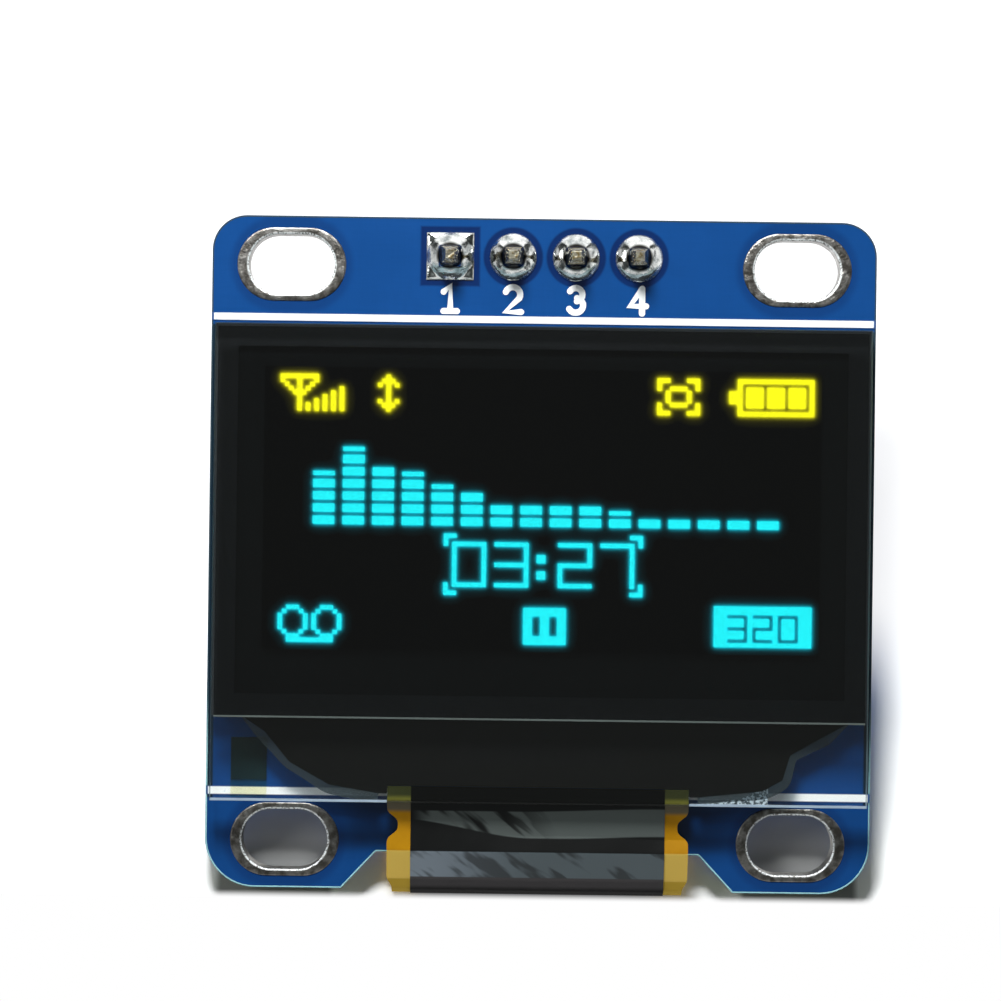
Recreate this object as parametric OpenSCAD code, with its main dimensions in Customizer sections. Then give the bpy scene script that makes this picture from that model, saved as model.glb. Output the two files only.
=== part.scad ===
// Small light-emitting display module on a blue circuit board.
// It stands upright in its own frame: X to the right, Z up, and the display faces -Y.
// The origin is the centre of the four slots, on the back face of the board.

/* [Circuit board] */
// Thickness of the board
board_t = 1.2; // [0.8:0.1:1.6]
// Radius of the two upper corners
top_corner_r = 1.4; // [0.5:0.1:2]
// Radius of the two lower corners
bottom_corner_r = 2; // [0.5:0.1:2.4]
// Space between the half turn of the flex and the floor of the notch above it
notch_gap = 0.37; // [0.2:0.05:0.6]
// Space beside the flex at the floor of the notch, each side
notch_side_gap = 0.45; // [0.2:0.05:0.8]
// Sideways run of the notch's slanted ends
notch_slant = 1.4; // [0.5:0.1:1.6]

/* [Mounting slots] */
// Distance of a slot's centre from the side of the board
slot_edge_x = 3.2; // [2.8:0.05:3.6]
// Distance of a slot's centre from the upper or lower edge of the board
slot_edge_z = 1.95; // [1.8:0.05:2.2]
// Length of a finished slot, end to end
slot_len = 3.45; // [2.8:0.05:3.6]
// Width of a finished slot
slot_w = 2.4; // [2:0.05:2.5]
// Length of the plated ring round a slot
slot_ring_len = 4.4; // [4.2:0.1:4.6]
// Width of the plated ring round a slot
slot_ring_w = 2.95; // [2.85:0.05:3.1]
// Thickness of the plating in the slots and holes
plating_t = 0.05; // [0.03:0.01:0.08]

/* [Header] */
// Number of pins
pin_count = 4; // [4]
// Distance between the pins
pin_pitch = 2.54; // [2.5:0.01:2.6]
// Thickness of a square pin
pin_w = 0.64; // [0.5:0.01:0.66]
// Length of a pin behind its plastic strip
pin_tail = 6; // [3:0.1:9]
// Length of a pin that stands out of the front of the board
pin_tip = 1.5; // [1.2:0.1:2]
// Length of the bevel at each end of a pin
pin_bevel = 0.35; // [0.2:0.05:0.6]
// Distance of the pins from the upper edge of the board
pin_edge = 1.55; // [1.4:0.05:1.8]
// Finished bore of the pin holes
pin_bore = 1; // [0.96:0.02:1.2]
// Size of the pads round the pin holes
pad_d = 1.9; // [1.6:0.1:2]
// Height of the plastic strip, away from the board
strip_t = 2.54; // [2:0.02:3]
// Height of a solder joint on its pad
solder_h = 0.95; // [0.6:0.05:1.1]

/* [Display] */
// Space between the glass and the side of the board
glass_side_gap = 0.25; // [0:0.05:1]
// Space between the lower edge of the glass and the rings of the lower slots
glass_slot_gap = 0.17; // [0.05:0.01:1]
// Thickness of the front glass
front_glass_t = 0.7; // [0.4:0.05:1]
// Thickness of the rear glass
rear_glass_t = 0.5; // [0.4:0.05:0.9]
// Height of the bare ledge below the rear glass and the polarizer
ledge_h = 3.35; // [3:0.05:3.6]
// Width of the sealing bead between the two glasses
seal_w = 0.9; // [0.5:0.1:1.2]
// Thickness of the sealing bead
seal_t = 0.03; // [0.02:0.01:0.06]
// Depth of the pocket etched in the rear glass
pocket_depth = 0.2; // [0.1:0.05:0.25]
// Thickness of the polarizer
polarizer_t = 0.2; // [0.1:0.02:0.3]
// Margin of bare glass round the polarizer
polarizer_margin = 0.15; // [0.05:0.05:0.4]
// Thickness of the adhesive tape behind the display
tape_t = 0.25; // [0.1:0.05:0.5]
// Margin of the tape inside the rear glass
tape_margin = 1.2; // [0.5:0.1:3]

/* [Screen] */
// Distance from one column of pixels to the next
column_pitch = 0.17; // [0.16:0.001:0.2]
// Distance from one row of pixels to the next
row_pitch = 0.1635; // [0.155:0.0005:0.2]
// Dark gap between the yellow zone and the blue zone
zone_gap = 0.29; // [0.1:0.01:0.4]
// Glass beside the screen, each side
screen_side = 2.27; // [1.8:0.05:3]
// Glass above the first row
screen_head = 2; // [1.6:0.05:3]
// Glass between the last row and the ledge
screen_foot = 3; // [1.6:0.05:4]
// Thickness of the light-emitting tiles
tile_t = 0.02; // [0.01:0.01:0.04]
// Thickness of the dark panel behind the tiles
panel_t = 0.05; // [0.03:0.01:0.08]
// Margin of the dark panel round the rows and columns
panel_margin = 0.3; // [0.1:0.05:0.4]

/* [Flex and driver] */
// Width of the flex
flex_w = 12.1; // [11.6:0.1:12.6]
// Thickness of the flex
flex_t = 0.1; // [0.06:0.01:0.14]
// Height of the flex's bond on the ledge
flex_bond_h = 0.6; // [0.4:0.05:0.8]
// Radius of the half-round bites in the flex's edges
bite_r = 0.5; // [0.2:0.05:0.6]
// Distance of the bites below the glass
bite_drop = 0.95; // [0.7:0.05:1.1]
// Clear amber margin beside the black cover film, each side
cover_margin = 0.95; // [0.8:0.05:1.2]
// Thickness of the cover film
cover_t = 0.04; // [0.02:0.01:0.06]
// Height of the flex behind the board, above the notch
flex_tail_h = 3; // [2.6:0.1:3.6]
// Number of contacts on the flex
contact_count = 30; // [20:1:30]
// Distance between the contacts
contact_pitch = 0.34; // [0.3:0.01:0.35]
// Width of a contact
contact_w = 0.2; // [0.1:0.01:0.22]
// Length of a contact
contact_len = 1.5; // [1:0.1:1.8]
// Length of the driver chip
chip_len = 6.8; // [5:0.1:8]
// Width of the driver chip
chip_w = 0.9; // [0.6:0.05:1.2]
// Thickness of the driver chip
chip_t = 0.3; // [0.2:0.02:0.36]
// Thickness of the black sealant over the ledge
sealant_t = 0.45; // [0.4:0.01:0.5]
// Width of the clear amber film
film_w = 1.45; // [1:0.05:1.7]
// Height of the clear amber film
film_h = 2.4; // [1.5:0.05:2.6]

/* [Printed bars] */
// Thickness of the white print
print_t = 0.03; // [0.02:0.01:0.05]
// Height of the upper bar
upper_bar_h = 0.32; // [0.2:0.02:0.34]
// Height of the lower bar
lower_bar_h = 0.35; // [0.2:0.02:0.4]
// Space between the upper bar and the glass below it
upper_bar_gap = 0.15; // [0.05:0.01:0.3]
// Space between the upper bar and the rings of the slots above it
ring_bar_gap = 0.5; // [0.1:0.05:1.5]
// Distance of the lower bar above the lower edge of the glass
lower_bar_lift = 0.12; // [0.02:0.01:0.2]

/* [Parts on the back] */
// Length of a chip capacitor or chip resistor
chip_part_len = 1.6; // [1.2:0.05:1.7]
// Width of a chip capacitor or chip resistor
chip_part_w = 0.8; // [0.6:0.05:0.9]
// Height of a chip capacitor
capacitor_t = 0.8; // [0.5:0.05:1]
// Height of a chip resistor
resistor_t = 0.45; // [0.35:0.05:0.6]
// Length of the metal end of a chip part
metal_end = 0.32; // [0.2:0.02:0.4]
// Thickness of the metal end of a chip part
metal_t = 0.02; // [0.01:0.01:0.04]
// Thickness of the tinned lands
land_t = 0.05; // [0.03:0.01:0.08]
// Reach of a land beyond the part that stands on it
land_reach = 0.35; // [0.2:0.05:0.4]
// Length of the regulator's case
regulator_len = 2.9; // [2.6:0.05:3.1]
// Width of the regulator's case
regulator_w = 1.3; // [1.1:0.05:1.5]
// Height of the regulator's case
regulator_t = 1; // [0.8:0.05:1.2]
// Width of a regulator lead
lead_w = 0.4; // [0.3:0.02:0.5]
// Thickness of a regulator lead
lead_t = 0.13; // [0.1:0.01:0.18]
// Distance between the two leads on one side of the regulator
lead_pitch = 1.9; // [1.8:0.05:2]

/* [Hidden] */
$fn = 64;
// How far a cutting shape runs past the face that it cuts
over = 0.1;
// Clearance between parts that are set into each other
fit_gap = 0.02;

// Faces along Y, from the back of the board to the front of the display
board_front = -board_t;
rear_glass_back = board_front - tape_t;
rear_glass_front = rear_glass_back - rear_glass_t;
glass_back = rear_glass_front - seal_t;
glass_front = glass_back - front_glass_t;

// The screen: 128 columns, 16 yellow rows above 48 blue rows
columns = 128;
yellow_rows = 16;
blue_rows = 48;
screen_w = columns * column_pitch;
screen_h = (yellow_rows + blue_rows) * row_pitch + zone_gap;

// The glass is made round the screen, and the board round the glass and the slots
glass_w = screen_w + 2 * screen_side;
glass_h = screen_head + screen_h + screen_foot + ledge_h;
glass_drop = slot_edge_z + slot_ring_w / 2 + ring_bar_gap + upper_bar_h + upper_bar_gap;
glass_lift = slot_edge_z + slot_ring_w / 2 + glass_slot_gap;
board_w = glass_w + 2 * glass_side_gap;
board_h = glass_drop + glass_h + glass_lift;
slot_pitch_x = board_w - 2 * slot_edge_x;
slot_pitch_z = board_h - 2 * slot_edge_z;

// Heights along Z
board_top = board_h / 2;
board_bottom = -board_h / 2;
glass_top = board_top - glass_drop;
glass_bottom = board_bottom + glass_lift;
ledge_top = glass_bottom + ledge_h;
pin_z = board_top - pin_edge;
screen_left = -screen_w / 2;
screen_top = glass_top - screen_head;

// The flex: its two flat runs are joined by a half turn below the notch's floor
flex_inner_r = (-glass_back - flex_t + land_t) / 2;
flex_outer_r = flex_inner_r + flex_t;
flex_axis_y = land_t - flex_inner_r;
flex_axis_z = board_bottom + flex_outer_r + cover_t + fit_gap;
notch_floor = flex_axis_z + notch_gap;
flex_end_z = notch_floor + flex_tail_h;
flex_bond_top = glass_bottom + flex_bond_h;
cover_w = flex_w - 2 * cover_margin;
// Space between the end of the flex and the ends of its contacts
contact_inset = 0.2;
cover_end_z = flex_end_z - contact_inset - contact_len - contact_inset;

notch_floor_w = flex_w + 2 * notch_side_gap;
notch_mouth_w = notch_floor_w + 2 * notch_slant;

// Level bars on the screen: how many stacked bars each of the sixteen shows
levels = [4.5, 6.5, 5, 4.5, 3.5, 3, 2, 2, 2, 2, 1.5, 1, 1, 1, 1, 1];

// Places of the chip parts on the back, X and Z, and 90 where one lies on its side
capacitor_places = [
    [-8.4, -5.2, 90], [-6, -5.2, 90], [-3.6, -5.2, 90], [-1.2, -5.2, 90],
    [1.2, -5.2, 90], [3.6, -5.2, 90], [3.4, 6, 90], [10.6, 6, 90]
];
resistor_places = [
    [6, -5.2, 90], [8.4, -5.2, 90], [-4.6, 0.6, 0], [-1.2, 0.6, 0], [2.2, 0.6, 0], [-8.4, 6.4, 0]
];
// A spare pair of lands beside the sixth resistor, for the other bus address
spare_place = [-8.4, 4.2, 0];
regulator_place = [7, 6];

// Outline of the black sealant: distance in from the side of the glass, and down from the ledge's top
sealant_left = [[1.25, 0], [2.15, 0.6], [3.15, 1.8], [4.75, 2.7]];
sealant_right = [[0.75, 0], [1.75, 0.55], [3.05, 1.3], [3.35, 2.3], [4.15, 2.75]];
// How far the sealant reaches past the side of the flex, and how close it comes to the glass's edge
sealant_tail = 0.35;
sealant_lift = 0.3;

// ---- helpers ----

// A flat sheet drawn in X and Z: its back is at y_back and its front is t nearer the viewer
module sheet(y_back, t) {
    translate([0, y_back, 0]) rotate([90, 0, 0]) linear_extrude(t) children();
}

// A profile drawn in Y and Z, carried along X and centred on it
module along_x(length) {
    translate([-length / 2, 0, 0]) rotate([90, 0, 90]) linear_extrude(length) children();
}

// A rectangle from its left, bottom, right and top
module area(left, bottom, right, top) {
    translate([left, bottom]) square([right - left, top - bottom]);
}

// What is cut off a square corner to leave a round one
module corner_waste(r) {
    difference() {
        square(r + over);
        circle(r);
    }
}

// A slot with round ends, centred on its place
module slot(length, width) {
    for (side = [-1, 1]) translate([side * (length - width) / 2, 0]) circle(d = width);
    square([length - width, width], center = true);
}

// The four places of the mounting slots: upper left, upper right, lower left, lower right
function slot_place(i) = [
    (i % 2 == 1 ? -1 : 1) * slot_pitch_x / 2,
    (i <= 2 ? 1 : -1) * slot_pitch_z / 2
];

function pin_x(i) = (i - (pin_count + 1) / 2) * pin_pitch;

// ---- board ----

module board_outline() {
    difference() {
        square([board_w, board_h], center = true);
        for (side = [0, 1]) mirror([side, 0]) {
            translate([board_w / 2 - top_corner_r, board_top - top_corner_r]) corner_waste(top_corner_r);
            translate([board_w / 2 - bottom_corner_r, board_bottom + bottom_corner_r])
                mirror([0, 1]) corner_waste(bottom_corner_r);
        }
        polygon([
            [-notch_mouth_w / 2, board_bottom], [-notch_floor_w / 2, notch_floor],
            [notch_floor_w / 2, notch_floor], [notch_mouth_w / 2, board_bottom],
            [notch_mouth_w / 2, board_bottom - over], [-notch_mouth_w / 2, board_bottom - over]
        ]);
    }
}

module circuit_board() {
    color("#14489c") sheet(0, board_t) difference() {
        board_outline();
        for (i = [1:4]) translate(slot_place(i)) slot(slot_len + 2 * plating_t, slot_w + 2 * plating_t);
        for (i = [1:pin_count]) translate([pin_x(i), pin_z]) circle(d = pin_bore + 2 * plating_t);
    }
}

// Plated lining of one slot: a wall through the board and a ring on each face
module slot_lining(i) {
    color("#c4c4c0") difference() {
        union() {
            sheet(0, board_t) translate(slot_place(i)) slot(slot_len + 2 * plating_t, slot_w + 2 * plating_t);
            for (y_back = [plating_t, board_front])
                sheet(y_back, plating_t) translate(slot_place(i)) slot(slot_ring_len, slot_ring_w);
        }
        sheet(over + plating_t, board_t + 2 * (over + plating_t))
            translate(slot_place(i)) slot(slot_len, slot_w);
    }
}

// Pad of one pin: a lined hole with a square or round ring on each face
module header_pad(i) {
    color("#c8c8c4") difference() {
        union() {
            sheet(0, board_t) translate([pin_x(i), pin_z]) circle(d = pin_bore + 2 * plating_t);
            for (y_back = [plating_t, board_front])
                sheet(y_back, plating_t) translate([pin_x(i), pin_z]) pad_shape(i);
        }
        sheet(over + plating_t, board_t + 2 * (over + plating_t))
            translate([pin_x(i), pin_z]) circle(d = pin_bore);
    }
}

// The first pad is square, which marks pin 1
module pad_shape(i) {
    if (i == 1) square(pad_d, center = true);
    else circle(d = pad_d);
}

// ---- header ----

// Strip of one cell for each pin, bevelled where the cells meet
module header_strip() {
    bevel = pin_pitch / 6;
    half = pin_pitch / 2;
    color("#1c1c1e") sheet(plating_t + strip_t, strip_t) difference() {
        union() {
            for (i = [1:pin_count]) translate([pin_x(i), pin_z]) polygon([
                [-half, -half + bevel], [-half + bevel, -half], [half - bevel, -half], [half, -half + bevel],
                [half, half - bevel], [half - bevel, half], [-half + bevel, half], [-half, half - bevel]
            ]);
            translate([0, pin_z]) square([pin_count * pin_pitch, pin_pitch - 2 * bevel], center = true);
        }
        for (i = [1:pin_count]) translate([pin_x(i), pin_z]) square(pin_w, center = true);
    }
}

// Side view of a pin, the same from the side and from above: straight, with a bevel at each end
module pin_profile() {
    front = board_front - pin_tip;
    back = plating_t + strip_t + pin_tail;
    tip_w = pin_w / 2;
    polygon([
        [front, -tip_w / 2], [front + pin_bevel, -pin_w / 2], [back - pin_bevel, -pin_w / 2], [back, -tip_w / 2],
        [back, tip_w / 2], [back - pin_bevel, pin_w / 2], [front + pin_bevel, pin_w / 2], [front, tip_w / 2]
    ]);
}

module header_pin(i) {
    color("#d8c48a") translate([pin_x(i), 0, pin_z]) intersection() {
        along_x(pin_w) pin_profile();
        translate([0, 0, -pin_w / 2]) linear_extrude(pin_w) rotate(90) mirror([0, 1]) pin_profile();
    }
}

// Solder that fills the hole round the pin and rises to it in a dome
module solder_joint(i) {
    pad_face = board_front - plating_t;
    half_pad = pad_d / 2 - fit_gap;
    color("#b8bcc0") difference() {
        union() {
            sheet(0, board_t + plating_t) translate([pin_x(i), pin_z]) circle(d = pin_bore);
            translate([pin_x(i), pad_face, pin_z]) rotate([90, 0, 0]) {
                if (i == 1) intersection() {
                    linear_extrude(solder_h) square(2 * half_pad, center = true);
                    solder_cap(cap_ball_r(half_pad * sqrt(2) + corner_spread));
                }
                else solder_cap(cap_ball_r(half_pad));
            }
        }
        along = board_t + plating_t + solder_h + 2 * over;
        sheet(over, along) translate([pin_x(i), pin_z]) square(pin_w, center = true);
    }
}

// Radius of a ball whose cap has the given height and the given radius at its base
function cap_ball_r(base_r) = (base_r * base_r + solder_h * solder_h) / (2 * solder_h);

// How far the ball over the square pad spreads past the pad's corners
corner_spread = 0.12;

// The cap of a ball, with its flat side on the pad
module solder_cap(r) {
    rotate_extrude() intersection() {
        translate([0, solder_h - r]) circle(r);
        square([2 * r, solder_h]);
    }
}

// ---- display ----

module display_tape() {
    color("#2a2a2c") sheet(board_front, tape_t)
        area(-glass_w / 2 + tape_margin, ledge_top + tape_margin, glass_w / 2 - tape_margin, glass_top - tape_margin);
}

// Rear glass, with a shallow etched pocket that clears the light-emitting panel
module rear_glass() {
    color("#20262a") difference() {
        sheet(rear_glass_back, rear_glass_t) area(-glass_w / 2, ledge_top, glass_w / 2, glass_top);
        sheet(rear_glass_front + pocket_depth, pocket_depth + over) seal_inside();
    }
}

module seal_inside() {
    area(-glass_w / 2 + seal_w, ledge_top + seal_w, glass_w / 2 - seal_w, glass_top - seal_w);
}

module edge_seal() {
    color("#30343a") sheet(rear_glass_front, seal_t) difference() {
        area(-glass_w / 2, ledge_top, glass_w / 2, glass_top);
        seal_inside();
    }
}

module front_glass() {
    color("#9fb8b4", 0.4) sheet(glass_back, front_glass_t)
        area(-glass_w / 2, glass_bottom, glass_w / 2, glass_top);
}

module polarizer() {
    color("#101114", 0.8) sheet(glass_front, polarizer_t)
        area(-glass_w / 2 + polarizer_margin, ledge_top, glass_w / 2 - polarizer_margin, glass_top - polarizer_margin);
}

// Dark panel that carries the tiles
module light_panel() {
    color("#08080a") sheet(glass_back + tile_t + panel_t, panel_t) area(
        screen_left - panel_margin, screen_top - screen_h - panel_margin,
        screen_left + screen_w + panel_margin, screen_top + panel_margin
    );
}

// A block of pixels from its column and row, counted from the upper left corner.
// Rows from the seventeenth on lie below the gap between the zones.
module block(column, row, wide = 1, high = 1) {
    gap = row >= yellow_rows ? zone_gap : 0;
    translate([screen_left + column * column_pitch, screen_top - gap - (row + high) * row_pitch])
        square([wide * column_pitch, high * row_pitch]);
}

// A line of single pixels on the diagonal
module diagonal(column, row, count, step) {
    for (k = [0:count - 1]) block(column + step * k, row + k);
}

module aerial_icon(column, row) {
    block(column, row, 9);
    block(column, row + 1);
    block(column + 8, row + 1);
    diagonal(column + 1, row + 2, 3, 1);
    diagonal(column + 7, row + 2, 3, -1);
    block(column + 4, row + 1, 1, 8);
    for (k = [1:5]) block(column + 4 + 2 * k, row + 8 - k, 1, k + 1);
}

// Upright double arrow
module transfer_icon(column, row) {
    block(column + 3, row, 1, 9);
    for (side = [-1, 1]) {
        diagonal(column + 3 + side, row + 1, 2, side);
        diagonal(column + 3 + 2 * side, row + 6, 2, -side);
    }
}

// Four corner marks round a field
module corner_marks(column, row, wide, high, arm) {
    for (right = [0, 1], low = [0, 1]) {
        block(column + right * (wide - arm), row + low * (high - 1), arm);
        block(column + right * (wide - 1), row + low * (high - arm), 1, arm);
    }
}

// A ring with clipped corners
module ring_icon(column, row, wide, high, clip) {
    for (k = [0, high - 1]) block(column + clip, row + k, wide - 2 * clip);
    for (k = [0, wide - 1]) block(column + k, row + clip, 1, high - 2 * clip);
    for (right = [0, 1], low = [0, 1], k = [1:clip - 1])
        block(column + (right ? wide - 1 - k : k), row + (low ? high - 1 - (clip - k) : clip - k));
}

module battery_icon(column, row) {
    block(column, row + 3, 2, 3);
    block(column + 2, row, 18);
    block(column + 2, row + 8, 18);
    block(column + 2, row, 1, 9);
    block(column + 19, row, 1, 9);
    for (k = [0:2]) block(column + 4 + 5 * k, row + 2, 4, 5);
}

// Segments a to g of the digits 0 to 9
digit_segments = ["abcdef", "bc", "abdeg", "abcdg", "bcfg", "acdfg", "acdefg", "abc", "abcdefg", "abcdfg"];

// A digit of seven segments, wide by high, with strokes of the given thickness
module digit(value, column, row, wide, high, stroke) {
    half = (high - stroke) / 2;
    for (name = digit_segments[value]) {
        if (name == "a") block(column, row, wide, stroke);
        if (name == "b") block(column + wide - stroke, row, stroke, half + stroke);
        if (name == "c") block(column + wide - stroke, row + half, stroke, half + stroke);
        if (name == "d") block(column, row + high - stroke, wide, stroke);
        if (name == "e") block(column, row + half, stroke, half + stroke);
        if (name == "f") block(column, row, stroke, half + stroke);
        if (name == "g") block(column, row + half, wide, stroke);
    }
}

module yellow_tiles() {
    color("#f6e80a") sheet(glass_back + tile_t, tile_t) {
        aerial_icon(2, 0);
        transfer_icon(24, 0);
        corner_marks(91, 0, 10, 9, 3);
        ring_icon(93, 2, 6, 5, 1);
        battery_icon(108, 0);
    }
}

module blue_tiles() {
    color("#14e8fa") sheet(glass_back + tile_t, tile_t) {
        level_bars(10, 34);
        corner_marks(41, 37, 47, 15, 3);
        elapsed_time(43, 39);
        reels_icon(2, 55);
        pause_icon(60, 55);
        rate_icon(105, 54);
    }
}

// Stacked bars, five columns wide and two rows high, with one row between them
module level_bars(column, last_row) {
    for (k = [0:len(levels) - 1]) {
        full = floor(levels[k]);
        for (n = [0:full - 1]) block(column + 7 * k, last_row - 1 - 3 * n, 5, 2);
        if (levels[k] > full) block(column + 7 * k, last_row - 3 * full, 5);
    }
}

// Playing time: two digits, a colon and two digits
module elapsed_time(column, row) {
    digits = [0, 3, 2, 7];
    for (k = [0:3]) digit(digits[k], column + 10 * k + (k > 1 ? 5 : 0), row, 8, 11, 1);
    for (k = [0, 1]) block(column + 20, row + 3 + 4 * k, 2, 2);
}

module reels_icon(column, row) {
    for (k = [0, 1]) ring_icon(column + 8 * k, row, 7, 8, 2);
    block(column + 2, row + 8, 11);
}

module pause_icon(column, row) {
    difference() {
        block(column, row, 10, 9);
        for (k = [0, 1]) block(column + 3 + 3 * k, row + 2, 1, 5);
    }
}

// A lit field with dark digits
module rate_icon(column, row) {
    digits = [3, 2, 0];
    difference() {
        block(column, row, 23, 10);
        for (k = [0:2]) digit(digits[k], column + 3 + 6 * k, row + 2, 5, 7, 1);
    }
}

// ---- ledge, driver and flex ----

module driver_chip() {
    color("#3c3f44") sheet(glass_back + chip_t, chip_t)
        translate([0, chip_z()]) square([chip_len, chip_w], center = true);
}

// The chip lies midway between the flex's bond and the rear glass
function chip_z() = (flex_bond_top + ledge_top) / 2;

// Black sealant over the chip, which tapers from the full width to the flex
module chip_sealant() {
    sealant_top = ledge_top - fit_gap;
    color("#101214") difference() {
        sheet(glass_back + sealant_t, sealant_t) difference() {
            polygon(concat(
                [for (p = sealant_left) [-glass_w / 2 + p[0], sealant_top - p[1]]],
                [for (side = [-1, 1]) [side * (flex_w / 2 + sealant_tail), glass_bottom + sealant_lift]],
                [for (k = [len(sealant_right) - 1:-1:0])
                    [glass_w / 2 - sealant_right[k][0], sealant_top - sealant_right[k][1]]]
            ));
            area(-flex_w / 2 - fit_gap, glass_bottom - over, flex_w / 2 + fit_gap, flex_bond_top + fit_gap);
        }
        sheet(glass_back + chip_t, chip_t + over)
            translate([0, chip_z()]) square([chip_len, chip_w], center = true);
    }
}

// Clear amber film on the board, over the left end of the lower bar and under the ledge
module amber_film() {
    film_inset = 0.75;
    film_lift = 0.05;
    color("#c8b400", 0.5) sheet(board_front - print_t, print_t) area(
        -glass_w / 2 + film_inset, glass_bottom + film_lift,
        -glass_w / 2 + film_inset + film_w, glass_bottom + film_lift + film_h
    );
}

// Section of a layer that follows the flex: from the front, round the half turn, to the back.
// Its inner and outer radii set it inside the flex, in it or on its outside.
module wrapped_section(inner_r, outer_r, front_top, back_top) {
    translate([flex_axis_y, flex_axis_z]) {
        difference() {
            circle(outer_r);
            circle(inner_r);
            translate([-outer_r - over, 0]) square([2 * (outer_r + over), outer_r + over]);
        }
        translate([-outer_r, 0]) square([outer_r - inner_r, front_top - flex_axis_z]);
        translate([inner_r, 0]) square([outer_r - inner_r, back_top - flex_axis_z]);
    }
}

module flex_tail() {
    color("#c8860a") difference() {
        along_x(flex_w) wrapped_section(flex_inner_r, flex_outer_r, flex_bond_top, flex_end_z);
        for (side = [-1, 1])
            sheet(glass_back + flex_t + over, flex_t + 2 * over)
                translate([side * flex_w / 2, glass_bottom - bite_drop]) circle(bite_r);
    }
}

module flex_cover() {
    cover_gap = 0.05;
    color("#17181a") along_x(cover_w)
        wrapped_section(flex_outer_r, flex_outer_r + cover_t, glass_bottom - cover_gap, cover_end_z);
}

function contact_x(k) = (k - (contact_count - 1) / 2) * contact_pitch;

module contact_row(bottom, length) {
    for (k = [0:contact_count - 1])
        area(contact_x(k) - contact_w / 2, bottom, contact_x(k) + contact_w / 2, bottom + length);
}

// Tinned contacts on the outside of the flex's end
module flex_contacts() {
    color("#d0d2d0") sheet(land_t + flex_t + cover_t, cover_t)
        contact_row(flex_end_z - contact_inset - contact_len, contact_len);
}

// Lands on the board that the flex's end is soldered to, a little longer than its contacts
module flex_lands() {
    color("#d8dad8") sheet(land_t, land_t)
        contact_row(flex_end_z - contact_inset - contact_len, contact_len + contact_inset + land_reach);
}

// ---- printed bars ----

module upper_bar() {
    bottom = glass_top + upper_bar_gap;
    color("#f2f4f2") sheet(board_front, print_t) area(-board_w / 2 + fit_gap, bottom, board_w / 2 - fit_gap, bottom + upper_bar_h);
}

module lower_bar() {
    bottom = glass_bottom + lower_bar_lift;
    color("#f2f4f2") sheet(board_front, print_t) area(-board_w / 2 + fit_gap, bottom, board_w / 2 - fit_gap, bottom + lower_bar_h);
}

// ---- parts on the back ----

// Puts a part that is drawn lying along X at its place on the back
module at_place(place) {
    translate([place[0], 0, place[1]]) rotate([0, place[2], 0]) children();
}

// Chip part: a block with a metal cap at each end, on its two lands
module chip_part(height, body_colour) {
    color(body_colour) translate([0, land_t, 0]) {
        translate([-chip_part_len / 2 + metal_t, metal_t, -chip_part_w / 2 + metal_t])
            cube([chip_part_len - 2 * metal_t, height - 2 * metal_t, chip_part_w - 2 * metal_t]);
        for (side = [-1, 1])
            translate([side * (chip_part_len - metal_end) / 2 - metal_end / 2, 0, -chip_part_w / 2])
                cube([metal_end, height, chip_part_w]);
    }
}

module capacitor(i) {
    at_place(capacitor_places[i - 1]) chip_part(capacitor_t, "#b08a5c");
}

module resistor(i) {
    at_place(resistor_places[i - 1]) chip_part(resistor_t, "#1e1e20");
}

// The two lands of a chip part, from under its metal ends to a little beyond them
module land_pair() {
    for (side = [0, 1]) mirror([side, 0, 0])
        translate([chip_part_len / 2 - metal_end, 0, -chip_part_w / 2])
            cube([metal_end + land_reach, land_t, chip_part_w]);
}

// Where the regulator's leads stand: two to the right, one to the left
lead_spots = [[1, -1], [1, 1], [-1, 0]];
lead_reach = 0.55;
lead_foot = 0.3;

module component_lands() {
    color("#c8cac6") {
        for (place = concat(capacitor_places, resistor_places, [spare_place])) at_place(place) land_pair();
        for (spot = lead_spots) regulator_spot(spot)
            translate([regulator_w / 2 + lead_reach - lead_foot - fit_gap, 0, -lead_w / 2 - fit_gap])
                cube([lead_foot + land_reach, land_t, lead_w + 2 * fit_gap]);
    }
}

// A wedge of solder against each metal end and each lead
module component_solder() {
    color("#c0c4c6") {
        for (place = capacitor_places) at_place(place) solder_pair(capacitor_t);
        for (place = resistor_places) at_place(place) solder_pair(resistor_t);
        for (spot = lead_spots) regulator_spot(spot)
            translate([regulator_w / 2 + lead_reach, land_t, 0])
                solder_wedge(land_reach - lead_foot / 2, lead_t, lead_w);
    }
}

module solder_pair(height) {
    for (side = [0, 1]) mirror([side, 0, 0])
        translate([chip_part_len / 2, land_t, 0]) solder_wedge(land_reach, height * 0.75, chip_part_w);
}

// Solder that sags from a height on the part to nothing at the end of its land.
// Its height falls with the square of the distance left to the end.
module solder_wedge(reach, height, width) {
    steps = 5;
    translate([0, 0, -width / 2]) linear_extrude(width) polygon(concat(
        [[0, 0]],
        [for (k = [steps:-1:0]) [reach * k / steps, height * pow(1 - k / steps, 2)]]
    ));
}

module regulator_spot(spot) {
    translate([regulator_place[0], 0, regulator_place[1] + spot[1] * lead_pitch / 2])
        mirror([spot[0] < 0 ? 1 : 0, 0, 0]) children();
}

module regulator_case() {
    draft = 0.08;
    standoff = land_t + fit_gap;
    middle = standoff + regulator_t / 2;
    color("#222224") translate([regulator_place[0], 0, regulator_place[1] - regulator_len / 2])
        linear_extrude(regulator_len) polygon([
            [-regulator_w / 2 + draft, standoff], [regulator_w / 2 - draft, standoff],
            [regulator_w / 2, middle], [regulator_w / 2 - draft, standoff + regulator_t],
            [-regulator_w / 2 + draft, standoff + regulator_t], [-regulator_w / 2, middle]
        ]);
}

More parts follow.
